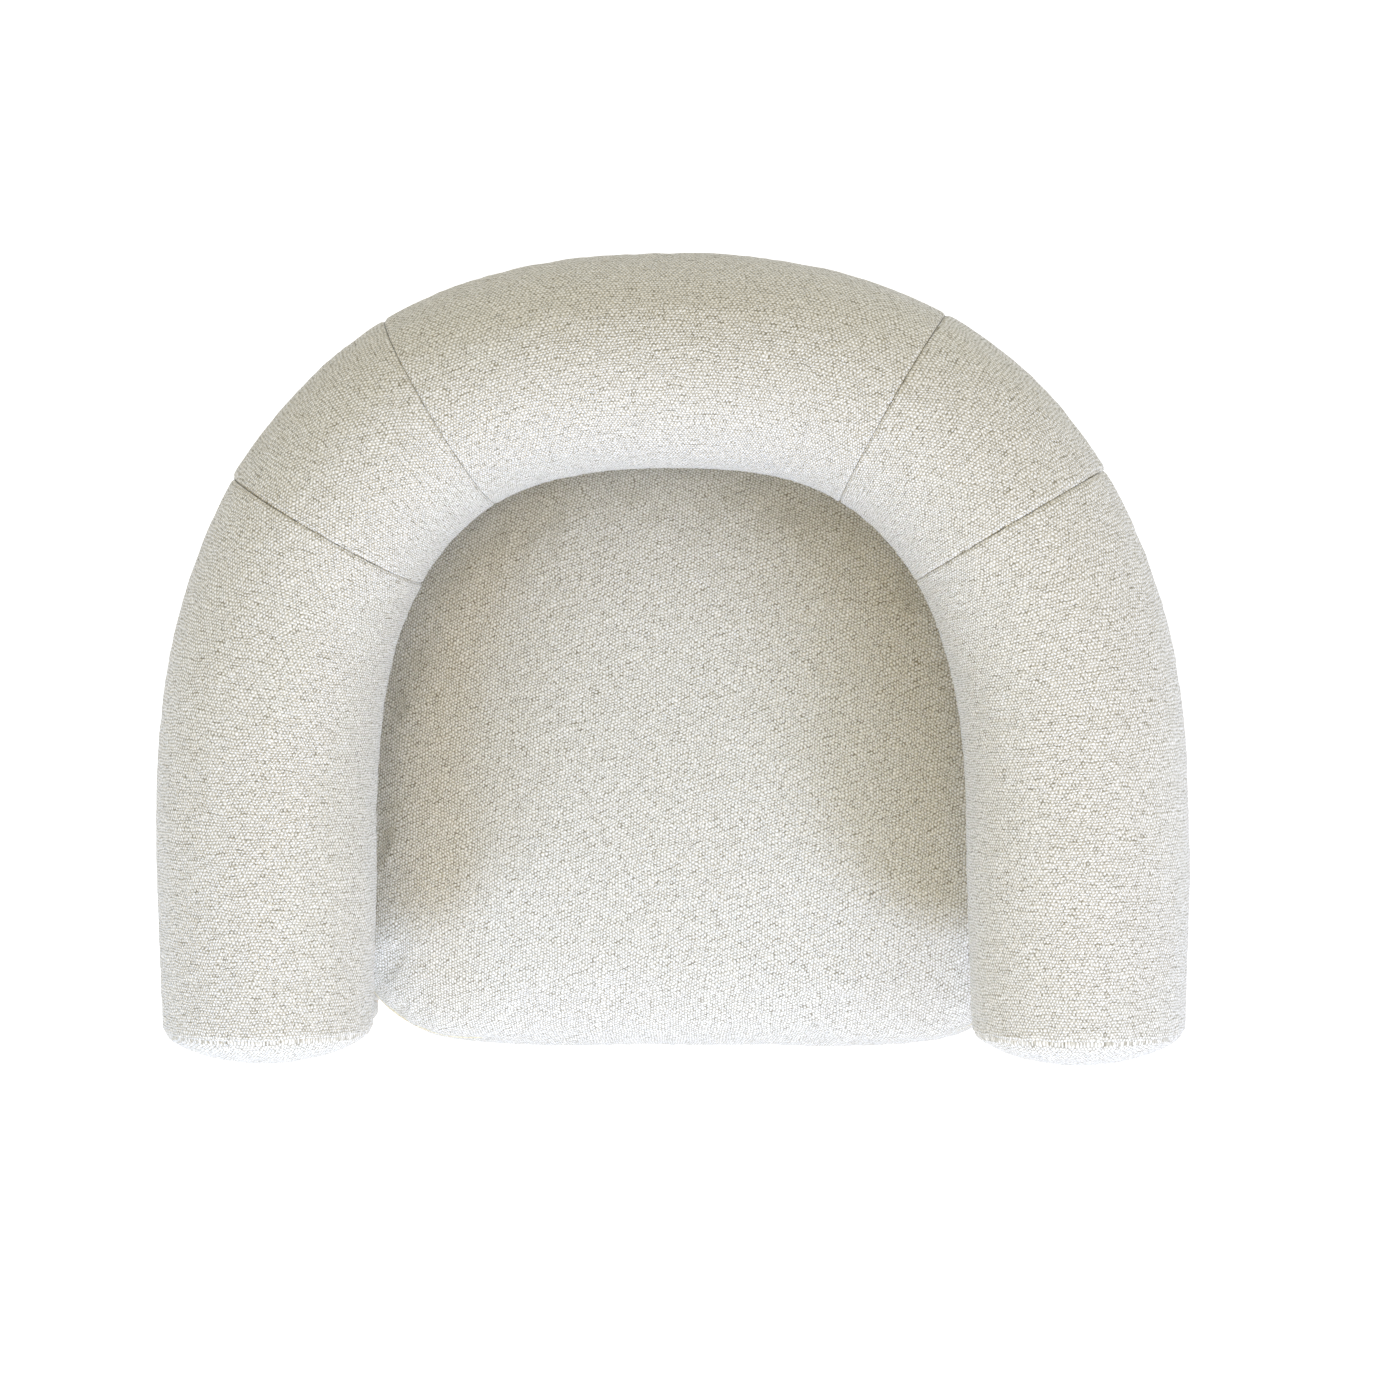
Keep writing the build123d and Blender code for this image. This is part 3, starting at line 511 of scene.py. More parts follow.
def foam(name="upholstery_foam"):
    """Open-cell foam: small Voronoi cells in two sizes."""
    made, tree, shader = material(name, **{"Roughness": 0.95, "Specular IOR Level": 0.1})
    place = object_place(tree)
    cells = put(tree, "ShaderNodeTexVoronoi", {"Vector": place, "Scale": 650.0}).outputs["Distance"]
    clumps = noise(tree, place, 90.0, 3.0)
    mixed = maths(tree, "ADD", maths(tree, "MULTIPLY", cells, 0.7), maths(tree, "MULTIPLY", clumps, 0.4))
    colour = ramp(tree, mixed, ((0.2, (0.62, 0.56, 0.38)), (0.7, (0.90, 0.86, 0.70))))
    finish_material(tree, shader, colour, mixed, 0.0006)
    return made


def zinc_steel(name="zinc_plated_steel"):
    """Zinc plated steel: bright metal with faint drawn streaks and cloudy roughness."""
    made, tree, shader = material(name, **{"Metallic": 1.0})
    place = object_place(tree)
    cloud = noise(tree, place, 300.0, 3.0)
    streaks = noise(tree, stretched(tree, place, (400, 400, 30)), 1.0, 2.0)
    tree.links.new(fade(tree, cloud, 0.3, 0.7, 0.25, 0.5), shader.inputs["Roughness"])
    colour = ramp(tree, cloud, ((0.3, (0.50, 0.52, 0.54)), (0.7, (0.72, 0.73, 0.72))))
    finish_material(tree, shader, colour, streaks, 0.00005, 0.4)
    return made


def woven(name, thread, light, dark, roughness=0.9):
    """A plain weave of crossing threads, read along X and Y, with uneven threads."""
    made, tree, shader = material(name, **{"Roughness": roughness, "Specular IOR Level": 0.2})
    place = object_place(tree)
    push = vectors(tree, "SUBTRACT", noise(tree, place, 120.0, 1.0, "Color"), (0.5, 0.5, 0.5))
    placed = vectors(tree, "ADD", place, vectors(tree, "MULTIPLY", push, (0.3 * thread,) * 3))
    warp = maths(tree, "SINE", vectors(tree, "DOT_PRODUCT", placed, (2 * math.pi / thread, 0, 0)))
    weft = maths(tree, "SINE", vectors(tree, "DOT_PRODUCT", placed, (0, 2 * math.pi / thread, 0)))
    over = fade(tree, maths(tree, "MULTIPLY", warp, weft), -1.0, 1.0)
    mixed = maths(tree, "ADD", maths(tree, "MULTIPLY", over, 0.7),
                  maths(tree, "MULTIPLY", noise(tree, place, 500.0), 0.3))
    colour = ramp(tree, mixed, ((0.2, dark), (0.75, light)))
    finish_material(tree, shader, colour, mixed, 0.3 * thread)
    return made


def moulded_nylon(name="moulded_nylon"):
    """Black nylon with a fine sparked grain."""
    made, tree, shader = material(name, **{"Roughness": 0.55})
    place = object_place(tree)
    grain = noise(tree, place, 900.0, 3.0)
    colour = ramp(tree, grain, ((0.3, (0.012, 0.012, 0.013)), (0.7, (0.030, 0.030, 0.031))))
    finish_material(tree, shader, colour, grain, 0.0001)
    return made


BOUCLE = boucle()
FOOT_WOOD = wood("dark_stained_beech", (0.105, 0.055, 0.030), (0.030, 0.015, 0.009), (10, 10, 1), 0.38, 0.4)
FRAME_WOOD = wood("planed_hardwood", (0.66, 0.49, 0.31), (0.40, 0.26, 0.14), (1, 8, 8), 0.65)
POST_WOOD = wood("planed_hardwood_upright", (0.66, 0.49, 0.31), (0.40, 0.26, 0.14), (8, 8, 1), 0.65)
SIDE_WOOD = wood("planed_hardwood_lengthwise", (0.66, 0.49, 0.31), (0.40, 0.26, 0.14), (8, 1, 8), 0.65)
PLYWOOD = plywood()
FOAM = foam()
STEEL = zinc_steel()
HESSIAN = woven("hessian", 0.0024, (0.58, 0.44, 0.26), (0.22, 0.15, 0.08))
DUST_CLOTH = woven("black_dust_cloth", 0.0009, (0.030, 0.030, 0.032), (0.008, 0.008, 0.009))
NYLON = moulded_nylon()


# ==== Pieces ====
def settle(obj, finish, slot, *nodes, fill=None):
    """Give a piece its material and its body, and hide the plain nodes that it stands for."""
    obj.data.materials.clear()
    obj.data.materials.append(finish)
    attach(obj, "root")
    if nodes:
        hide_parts(*nodes)
    return obj


def roll_section(s, angle, inset):
    """Points of the roll: centre + radius (cos angle out + sin angle up), at each s and angle."""
    centre, out = on_roll("centre", s)[:, None, :], on_roll("out", s)[:, None, :]
    radius = (roll_radius(s)[:, None] - inset)[..., None]
    return centre + radius * (np.cos(angle)[None, :, None] * out + np.sin(angle)[None, :, None] * ROLL["up"])


def roll_panel(name, start, end, node, seed, rows_along=False):
    """One sewn panel of the roll, dipped at its seams and gathered beside them."""
    s = spaced(start + 0.0002, end - 0.0002, GRID)
    around = 2 * round(math.pi * ARM_RADIUS / GRID)
    angle = np.linspace(0, 2 * math.pi, around, endpoint=False)
    girth = 2 * math.pi * ARM_RADIUS
    across = angle * ARM_RADIUS
    to_seam = np.minimum(s - start, end - s)[:, None]
    inset = -boucle_relief(across[None, :], s[:, None], seed, girth)
    inset -= seam_dip(to_seam) + pucker(to_seam, across[None, :], seed + 9)
    rows = roll_section(s, angle, inset)
    closed = np.append(across, girth)
    weave = np.stack(np.broadcast_arrays(closed[None, :], s[:, None]), -1)
    if rows_along:
        weave = weave[..., ::-1]
    return settle(tube(name, rows, weave), BOUCLE, "boucle", node, fill=0.9)


def make_roll():
    """Five panels sewn end to end, over one foam core."""
    arm_seam, back_seam = distance_where_facing(ARM_SEAM), distance_where_facing(BACK_SEAM)
    cuts = [0, arm_seam, back_seam, ROLL_LENGTH - back_seam, ROLL_LENGTH - arm_seam, ROLL_LENGTH]
    nodes = ["right_arm_cover", "right_corner_cover", "back_cover", "left_corner_cover", "left_arm_cover"]
    for index, node in enumerate(nodes):
        name = node.replace("_cover", "_roll_panel")
        roll_panel(name, cuts[index], cuts[index + 1], node, 40 + 10 * index, node == "back_cover")
    s = np.linspace(0.002, ROLL_LENGTH - 0.002, 260)
    angle = np.linspace(0, 2 * math.pi, 72, endpoint=False)
    rows = roll_section(s, angle, np.full((len(s), len(angle)), FOAM_INSET))
    weave = np.zeros((len(s), len(angle) + 1, 2))
    settle(tube("bolster_foam_core", rows, weave), FOAM, "foam", "bolster_foam", fill=1.0)


def make_end_cap(side, node, seed):
    """A round cap: the dome's rise is crown (1 - r^2)^0.7, pulled in to the seam at its rim."""
    s = 0.0 if side > 0 else ROLL_LENGTH
    centre, out, along = on_roll("centre", s), on_roll("out", s), on_roll("along", s)
    forward = -along * (1 if side > 0 else -1)
    angle = np.linspace(0, 2 * math.pi, 280, endpoint=False)
    reach = np.sin(np.linspace(math.pi / 2, 0.01, 90))
    reach = np.concatenate([[0.02, 0.5], [1.0], reach[1:]])
    rise = CAP_CROWN * np.clip(1 - reach ** 2, 0, 1) ** 0.7
    rise[:3] = CAP_TUCK
    rim = END_RADIUS - SEAM_DEPTH * np.exp(-((1 - reach) * END_RADIUS / SEAM_WIDTH))
    rim[:3] = END_RADIUS - SEAM_DEPTH
    flat = reach * rim
    x, y = flat[:, None] * np.cos(angle), flat[:, None] * np.sin(angle)
    lift = rise[:, None] + boucle_relief(x + 1, y + 1, seed) * (reach < 0.97)[:, None]
    lift[:3] = CAP_TUCK
    rings = centre + x[..., None] * out + y[..., None] * ROLL["up"] + lift[..., None] * forward
    weave = np.stack([x, y], -1)
    if side < 0:
        rings, weave = rings[:, ::-1], weave[:, ::-1]
    settle(disc(node + "_pad", rings[::-1], weave[::-1]), BOUCLE, "boucle", node, fill=0.8)


def shell_plan():
    """The shell's centreline in plan, with its outward directions and distances from the right end."""
    plan = horseshoe(CAD_HIGH.x - CAD_RADIUS, CAD_HIGH.y - CAD_RADIUS - WIDEST_Y, ARM_LENGTH, SHELL_POWER)
    return {"s": lengths(plan), "plan": plan, "out": outward(plan)}


SHELL = shell_plan()
SHELL_LENGTH = SHELL["s"][-1]


def on_shell(part, s):
    """The shell's plan or outward direction at the distances s."""
    return np.stack([np.interp(s, SHELL["s"], SHELL[part][:, axis]) for axis in range(2)], -1)


def under_roll(y, offset):
    """Height of the roll's underside beside its centreline, plus the tuck."""
    return slope_z(y) - math.sqrt(CAD_RADIUS ** 2 - offset ** 2) / math.cos(TILT) + TUCK


def rounded_foot(height, radius):
    """How far a quarter-round foot stands back at each height above its bottom."""
    corner = np.clip(1 - height / radius, 0, 1)
    return radius * (1 - np.sqrt(1 - corner ** 2))


def upright(name, plan, out, outer, inner, distance, z):
    """A closed layer along a plan path: at each place, up its outer face and down its inner one."""
    offset = np.concatenate([outer, inner[:, ::-1]], axis=1)
    x = plan[:, :1] + offset * out[:, :1]
    y = plan[:, 1:] + offset * out[:, 1:]
    weave = closing(np.stack([np.broadcast_to(distance[:, None], z.shape), z], -1))
    return tube(name, np.stack([x, y, z], -1), weave)


def make_wall(name, node, span, face, side, bottom, seed, back=None, pillow=0.0, finish=BOUCLE,
              slot="boucle", foot=None):
    """One layer of the shell, carried along its plan from the base up under the roll.

    It starts at the height bottom, or at foot beside the border, where the base is cut back.
    The face swells by pillow sin^0.6 of the height, and an outside face ends in a rounded foot. The
    back follows the face one cover's thickness behind it, or stays flat on the board at back.
    """
    if back is None:
        s, rows_up = spaced(*span, WALL_STEP), 72
    else:
        s, rows_up = spaced(*span, WALL_FOAM_STEP, WALL_FOAM_FINE), 24
    plan, out = on_shell("plan", s), on_shell("out", s)
    share = rising(0.04, rows_up)
    top = under_roll(plan[:, 1], face)
    bottom = np.where(plan[:, 1] < BORDER_HIGH.y, bottom if foot is None else foot, bottom)
    rise = share[None, :] * (top - bottom)[:, None]
    shape = pillow * np.sin(math.pi * share)[None, :] ** 0.6
    if side > 0:
        shape = shape - rounded_foot(rise, FOOT_ROUND)
    to_seam = np.minimum(s - span[0], span[1] - s)[:, None]
    relief = boucle_relief(s[:, None], rise, seed) if back is None else 0
    outer = face + side * (shape + seam_dip(to_seam) + relief)
    inner = np.broadcast_to(back if back is not None else face + side * (shape - COVER), outer.shape)
    z = bottom[:, None] + np.concatenate([rise, rise[:, ::-1]], axis=1)
    settle(upright(name, plan, out, outer, inner, s, z), finish, slot, node, fill=0.7)


def make_shell():
    """Inside lining and three outside covers, each over its own foam."""
    arm = SHELL["plan"][:300]
    start = float(np.interp(SHELL_LOW.y, arm[:, 1], SHELL["s"][:300]))
    half = len(SHELL["s"]) // 2
    facing = np.arctan2(SHELL["out"][:half, 1], SHELL["out"][:half, 0])
    seam = float(np.interp(BACK_SEAM, facing, SHELL["s"][:half]))
    whole = (start, SHELL_LENGTH - start)
    make_wall("inside_shell_lining", "inside_shell_cover", whole, SHELL_INSIDE - LINING_PROUD, -1,
              SHELL_LOW.z, 200, pillow=LINING_PILLOW, foot=OUTER_LOW.z)
    make_wall("inside_shell_foam", "inside_shell_padding", whole, SHELL_INSIDE + UNDER_COVER, -1,
              SHELL_LOW.z + UNDER_COVER, 0, back=SHELL_INSIDE + COVER + INSIDE_PAD, finish=FOAM, slot="foam")
    make_wall("outside_shell_foam", "outside_shell_padding", whole, SHELL_OUTSIDE - UNDER_COVER, 1,
              OUTER_LOW.z + UNDER_COVER, 0, back=SHELL_OUTSIDE - COVER - OUTSIDE_PAD,
              finish=FOAM, slot="foam")
    spans = {"outside_right": (start, seam), "outside_back": (seam, SHELL_LENGTH - seam),
             "outside_left": (SHELL_LENGTH - seam, SHELL_LENGTH - start)}
    for index, (name, span) in enumerate(spans.items()):
        make_wall(name + "_panel", name + "_cover", span, SHELL_OUTSIDE, 1, OUTER_LOW.z, 210 + 5 * index,
                  pillow=PILLOW)


def front_profile(low, high, back, count):
    """Plan of an arm front and its outward directions: back up one side, round two corners and back.

    The front crowns forward by a parabola between the rounded corners.
    """
    turn = np.linspace(0, math.pi / 2, 14)
    left = np.array([low.x + FRONT_ROUND, low.y + FRONT_ROUND])
    right = np.array([high.x - FRONT_ROUND, low.y + FRONT_ROUND])
    arc = FRONT_ROUND * np.stack([-np.cos(turn), -np.sin(turn)], -1)
    across = np.linspace(left[0], right[0], 40)[1:-1]
    crown = FRONT_CROWN * (1 - (2 * (across - left[0]) / (right[0] - left[0]) - 1) ** 2)
    points = np.concatenate([
        [[low.x, back]], left + arc, np.stack([across, low.y - crown], -1), right + arc[::-1] * [-1, 1],
        [[high.x, back]]])
    length = lengths(points)
    even = np.linspace(0, length[-1], count)
    plan = np.stack([np.interp(even, length, points[:, axis]) for axis in range(2)], -1)
    return plan, outward(plan), even


def stacked(outer, inner, z):
    """Sections at the heights z, each round an outer line and back along an inner one."""
    flat = np.concatenate([outer, inner[:, ::-1]], axis=1)
    return np.concatenate([flat, np.broadcast_to(z[:, None, None], (*flat.shape[:2], 1))], -1)


def make_arm_front(node, seed):
    """The cover of one arm's front, wrapped round its foam and back to the side covers."""
    low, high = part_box(node)
    plan, out, even = front_profile(low, high, SHELL_LOW.y + FRONT_OVERLAP, 180)
    share = rising(0.04, 180)
    rise = share * (high.z - low.z + TUCK)
    relief = boucle_relief(even[None, :], rise[:, None], seed)
    seam = seam_dip(np.minimum(even, even[-1] - even))[None, :]
    back = rounded_foot(rise, FOOT_ROUND)[:, None]
    outer = plan[None] + out[None] * (FRONT_GROWTH + relief + seam - back)[..., None]
    inner = plan[None] + out[None] * (FRONT_GROWTH - FRONT_COVER + seam - back)[..., None]
    rows = stacked(outer, inner, low.z + rise)
    around = np.broadcast_to(np.concatenate([even, even[::-1]])[None, :], rows.shape[:2])
    weave = closing(np.stack([around, rows[..., 2]], -1))
    settle(tube(node.replace("cover", "panel"), rows, weave), BOUCLE, "boucle", node, fill=0.7)


def make_arm_front_foam(node):
    """The foam behind an arm's front cover, flat on its board."""
    low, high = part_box(node)
    plan, out, _ = front_profile(low, high, high.y, 90)
    plan = plan - out * FRONT_FOAM_INSET
    board = np.stack([plan[:, 0], np.full(len(plan), high.y)], -1)
    share = rising(0.04, 60)
    rise = share * (high.z - low.z) + FRONT_FOAM_LIFT
    back = rounded_foot(rise, FOOT_ROUND)[:, None, None]
    outer = plan[None] - out[None] * back
    inner = np.broadcast_to(board[None], outer.shape)
    rows = stacked(outer, inner, low.z + rise)
    weave = np.zeros((rows.shape[0], rows.shape[1] + 1, 2))
    settle(tube(node.replace("padding", "foam"), rows, weave), FOAM, "foam", node, fill=1.0)


def seat_outline(inset, count):
    """Closed plan outline of the seat, evenly spaced, starting behind the crown's right side.

    The roll's plan path moved inwards, two straight sides, two corner arcs and a straight front.
    """
    path = horseshoe(CAD_HIGH.x - CAD_RADIUS + SEAT_OFFSET - inset,
                     REACH + CAD_RADIUS - BACK_RADIUS + SEAT_OFFSET - inset, 0)
    side = path[0, 0]
    corner = SEAT_CORNER - inset
    front = SEAT_LOW.y + inset
    turn = np.linspace(0, math.pi / 2, 60)
    run = np.linspace(WIDEST_Y, front + corner, 60)
    left_side = np.stack([np.full_like(run, -side), run], -1)
    left_arc = np.stack([-side + corner - corner * np.cos(turn), front + corner - corner * np.sin(turn)], -1)
    across = np.linspace(-side + corner, side - corner, 120)
    front_run = np.stack([across, np.full_like(across, front)], -1)
    right_arc = left_arc[::-1] * [-1, 1]
    right_side = left_side[::-1] * [-1, 1]
    loop = np.concatenate([path, left_side, left_arc, front_run, right_arc, right_side])
    closed = np.concatenate([loop, loop[:1]])
    length = lengths(closed)
    even = np.linspace(0, length[-1], count, endpoint=False)
    return np.stack([np.interp(even, length, closed[:, axis]) for axis in range(2)], -1)


CROWN_Y = CAD_HIGH.y - CAD_RADIUS - CROWN_SETBACK


def seat_top(x, y):
    """Height of the seat's upper surface: it falls from the crown by powers of the distance."""
    forward, backward = np.maximum(CROWN_Y - y, 0), np.maximum(y - CROWN_Y, 0)
    fall = SIDE_FALL * np.abs(x) ** SIDE_POWER + FRONT_FALL * forward ** FRONT_POWER
    return SEAT_HIGH.z - fall - BACK_FALL * backward ** BACK_POWER


def seat_rings(inset, around, across, down, bottom):
    """Rings from the middle of the seat's top, over a rounded edge, down the side and in underneath."""
    edge = seat_outline(inset, around)
    middle = np.array([0.0, CROWN_Y])
    to_edge = np.linalg.norm(edge - middle, axis=1)
    edge_round = SEAT_EDGE_ROUND - inset
    quarter = np.linspace(0, math.pi / 2, 16)
    inner = np.linspace(0.004, 1, across)
    rings, unfolded = [], []
    for share in inner:
        reach = share * (1 - edge_round / to_edge)
        plan = middle + (edge - middle) * reach[:, None]
        rings.append(np.column_stack([plan, seat_top(*plan.T) - inset]))
        unfolded.append(plan)
    lip = seat_top(*edge.T) - inset
    direction = (edge - middle) / to_edge[:, None]
    for angle in quarter[1:]:
        plan = edge - direction * (edge_round * (1 - math.sin(angle)))
        shoulder = seat_top(*plan.T) - inset
        rings.append(np.column_stack([plan, shoulder - edge_round * (1 - math.cos(angle))]))
        unfolded.append(edge - direction * edge_round * (1 - angle))
    foot = lip - edge_round
    for share in np.linspace(0, 1, down)[1:]:
        z = foot + (bottom - foot) * share
        rings.append(np.column_stack([edge, z]))
        unfolded.append(edge + direction * (edge_round * (math.pi / 2 - 1) + foot - z)[:, None])
    for share in (0.97, 0.6, 0.05):
        plan = middle + (edge - middle) * share
        rings.append(np.column_stack([plan, np.full(around, bottom)]))
        unfolded.append(plan)
    return np.array(rings), np.array(unfolded)


def inflate(obj, voxel, limit, frames=20):
    """Blow a copy of a closed pad up as cloth, and lay the pad on the result.

    The copy is remeshed, pressed out from inside with no gravity while its underside is held, and
    no point may move further than the limit.
    """
    copy = obj.copy()
    copy.data = obj.data.copy()
    copy.name = obj.name + "_blown"
    bpy.context.scene.collection.objects.link(copy)
    bpy.context.view_layer.objects.active = copy
    remesh = copy.modifiers.new("even", "REMESH")
    remesh.mode = "VOXEL"
    remesh.voxel_size = voxel
    with bpy.context.temp_override(object=copy, active_object=copy):
        bpy.ops.object.modifier_apply(modifier=remesh.name)
    count = len(copy.data.vertices)
    before = np.empty(count * 3, dtype=np.float32)
    copy.data.vertices.foreach_get("co", before)
    before = before.reshape(-1, 3)
    held = copy.vertex_groups.new(name="held")
    low = np.nonzero(before[:, 2] < before[:, 2].min() + SEAT_HELD)[0]
    held.add(low.tolist(), 1.0, "REPLACE")
    cloth = copy.modifiers.new("cloth", "CLOTH")
    cloth.settings.quality = 5
    cloth.settings.mass = 0.4
    cloth.settings.tension_stiffness = 20
    cloth.settings.compression_stiffness = 20
    cloth.settings.shear_stiffness = 8
    cloth.settings.bending_stiffness = 2
    cloth.settings.use_pressure = True
    cloth.settings.uniform_pressure_force = 4
    cloth.settings.vertex_group_mass = "held"
    cloth.settings.effector_weights.gravity = 0
    cloth.collision_settings.use_collision = False
    cloth.point_cache.frame_start = 1
    cloth.point_cache.frame_end = frames
    scene = bpy.context.scene
    for number in range(1, frames + 1):
        scene.frame_set(number)
    blown = copy.evaluated_get(bpy.context.evaluated_depsgraph_get())
    after = np.empty(count * 3, dtype=np.float32)
    blown.data.vertices.foreach_get("co", after)
    scene.frame_set(1)
    moved = after.reshape(-1, 3) - before
    length = np.linalg.norm(moved, axis=1)
    shorter = limit * np.tanh(length / limit) / np.maximum(length, 1e-9)
    copy.modifiers.remove(cloth)
    copy.data.vertices.foreach_set("co", (before + moved * shorter[:, None]).astype(np.float32).ravel())
    copy.data.update()
    wrap = obj.modifiers.new("laid_on", "SHRINKWRAP")
    wrap.target = copy
    wrap.wrap_method = "NEAREST_SURFACEPOINT"
    bpy.context.view_layer.objects.active = obj
    with bpy.context.temp_override(object=obj, active_object=obj):
        bpy.ops.object.modifier_apply(modifier=wrap.name)
    bpy.data.objects.remove(copy)


def make_seat():
    """The seat cover, blown up as cloth over its foam, with a smaller foam block inside."""
    rings, unfolded = seat_rings(0.0, 640, 100, 42, SEAT_LOW.z)
    cosine, sine = math.cos(SEAT_WEAVE), math.sin(SEAT_WEAVE)
    turn = np.array([[cosine, -sine], [sine, cosine]])
    seat = disc("seat_pad", rings, unfolded @ turn)
    inflate(seat, SEAT_VOXEL, SEAT_RISE)
    flat = np.concatenate([unfolded.reshape(-1, 2), np.zeros((2, 2))])
    swell(seat, boucle_relief(flat[:, 0] + 2, flat[:, 1] + 2, 300))
    settle(seat, BOUCLE, "boucle", "seat_cover", fill=0.85)
    foam_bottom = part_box("seat_top_foam")[0].z
    rings, unfolded = seat_rings(SEAT_FOAM_INSET, 200, 30, 8, foam_bottom)
    settle(disc("seat_foam_block", rings, unfolded), FOAM, "foam", "seat_top_foam", fill=1.0)


def make_border():
    """The padded border under the seat's front, from inside one arm round to the other."""
    outline = seat_outline(BORDER_INSET, 1200)
    outline = outline[outline[:, 1] < BORDER_HIGH.y]
    out, length = outward(outline), lengths(outline)
    share = rising(0.06, 60)
    rise = share * (BORDER_HIGH.z - BORDER_LOW.z)
    shape = BORDER_SWELL * np.sin(math.pi * share) ** 0.6 - rounded_foot(rise, FOOT_ROUND)
    outer = shape[None, :] + boucle_relief(length[:, None], rise[None, :], 320)
    inner = np.broadcast_to(shape[None, :] - COVER, outer.shape)
    z = BORDER_LOW.z + np.concatenate([rise, rise[::-1]])
    z = np.broadcast_to(z[None, :], (len(outline), len(z)))
    border = upright("front_border_panel", outline, out, outer, inner, length, z)
    settle(border, BOUCLE, "boucle", "front_border_cover", fill=0.7)


def make_foot(name, node):
    """A turned foot: a straight taper with a rounded lower edge and a small groove under the base."""
    low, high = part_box(node)
    middle = (low + high) / 2
    top_radius = (high.x - low.x) / 2
    base_radius = top_radius * FOOT_TAPER
    tall = high.z - low.z
    share = np.concatenate([[0.0], np.linspace(0.0, FOOT_EDGE_SHARE, 10)[1:],
                            np.linspace(FOOT_EDGE_SHARE, FOOT_BEAD_SHARE, 24)[1:],
                            np.linspace(FOOT_BEAD_SHARE, 1.0, 16)[1:]])
    radius = base_radius + (top_radius - base_radius) * share
    radius = radius - FOOT_EDGE * (1 - np.sqrt(1 - np.clip(1 - share / FOOT_EDGE_SHARE, 0, 1) ** 2))
    radius = radius - FOOT_BEAD * np.exp(-((share - FOOT_BEAD_SHARE) / FOOT_BEAD_WIDTH) ** 2)
    share = np.concatenate([[0, 0], share, [1, 1]])
    radius = np.concatenate([[0.001, radius[0] * 0.6], radius, [radius[-1] * 0.6, 0.001]])
    angle = np.linspace(0, 2 * math.pi, 96, endpoint=False)
    x = middle.x + radius[:, None] * np.cos(angle)
    y = middle.y + radius[:, None] * np.sin(angle)
    z = np.broadcast_to((low.z + share * tall)[:, None], x.shape)
    rings = np.stack([x, y, z], -1)[::-1]
    settle(disc(name, rings, np.stack([x, z], -1)[::-1]), FOOT_WOOD, "foot_wood", node)


def dust_cover_edges(x):
    """Front and rear edges of the dust cover at each x, in plan.

    The rear is the roll's path moved out to the shell board. The front is the arm fronts outside the
    shell's inner face, and the rounded front of the seat frame between them.
    """
    path = horseshoe(DUST_HIGH.x, DUST_HIGH.y - WIDEST_Y, 0)
    quarter = path[:int(np.argmax(path[:, 1])) + 1]
    rear = np.interp(-np.abs(x), -quarter[:, 0], quarter[:, 1])
    front_line = SEAT_LOW.y + FRAME_INSET
    corner = SEAT_CORNER - FRAME_INSET
    side = INNER_FACE - FRAME_GAP
    bend = np.clip((np.abs(x) - side + corner) / corner, 0, 1)
    front = front_line + corner * (1 - np.sqrt(1 - bend ** 2))
    front = np.where(np.abs(x) > side, BORDER_HIGH.y, front)
    middle = (INNER_FACE + DUST_HIGH.x) / 2
    straight = (DUST_HIGH.x - INNER_FACE) / 2 - FRONT_ROUND
    bend = np.clip((np.abs(np.abs(x) - middle) - straight) / FRONT_ROUND, 0, 1)
    arm = FRONT_HIGH.y + FOOT_ROUND + FRONT_ROUND * (1 - np.sqrt(1 - bend ** 2))
    return np.where(np.abs(x) > INNER_FACE, arm, front), rear


def make_dust_cover():
    """Thin black cloth stapled under the base: it sags a little between its edges, and ripples."""
    half = DUST_HIGH.x
    beside = half - INNER_FACE - FOOT_ROUND - FRONT_ROUND
    side = np.concatenate([
        np.linspace(0, INNER_FACE - FRAME_GAP - 0.0001, 70),
        INNER_FACE + FOOT_ROUND + 0.0002 + np.linspace(0, FRONT_ROUND, 10, endpoint=False),
        half - beside * np.linspace(1, 0.02, 40) ** 2])
    x = np.concatenate([-side[:0:-1], side])
    front, rear = dust_cover_edges(x)
    share = np.linspace(0, 1, 90)
    y = front[:, None] + (rear - front)[:, None] * share
    x_all = np.broadcast_to(x[:, None], y.shape)
    middle = np.sin(math.pi * share)[None, :] * (1 - (x / half) ** 2)[:, None]
    wave = soft_noise(x_all / DUST_RIPPLE_CELL + 20, y / DUST_RIPPLE_CELL + 20, 350)
    top = DUST_HIGH.z - DUST_GAP - (DUST_SAG + DUST_RIPPLE * wave) * middle
    upper = np.stack([x_all, y, top], -1)
    lower = upper - [0, 0, DUST_THICKNESS]
    rows = np.concatenate([upper, lower[:, ::-1]], axis=1)
    weave = np.concatenate([rows[..., :2], rows[:, :1, :2]], axis=1)
    sheet = tube("dust_cloth_sheet", rows[::-1], weave[::-1])
    settle(sheet, DUST_CLOTH, "dust_cloth", "dust_cover")


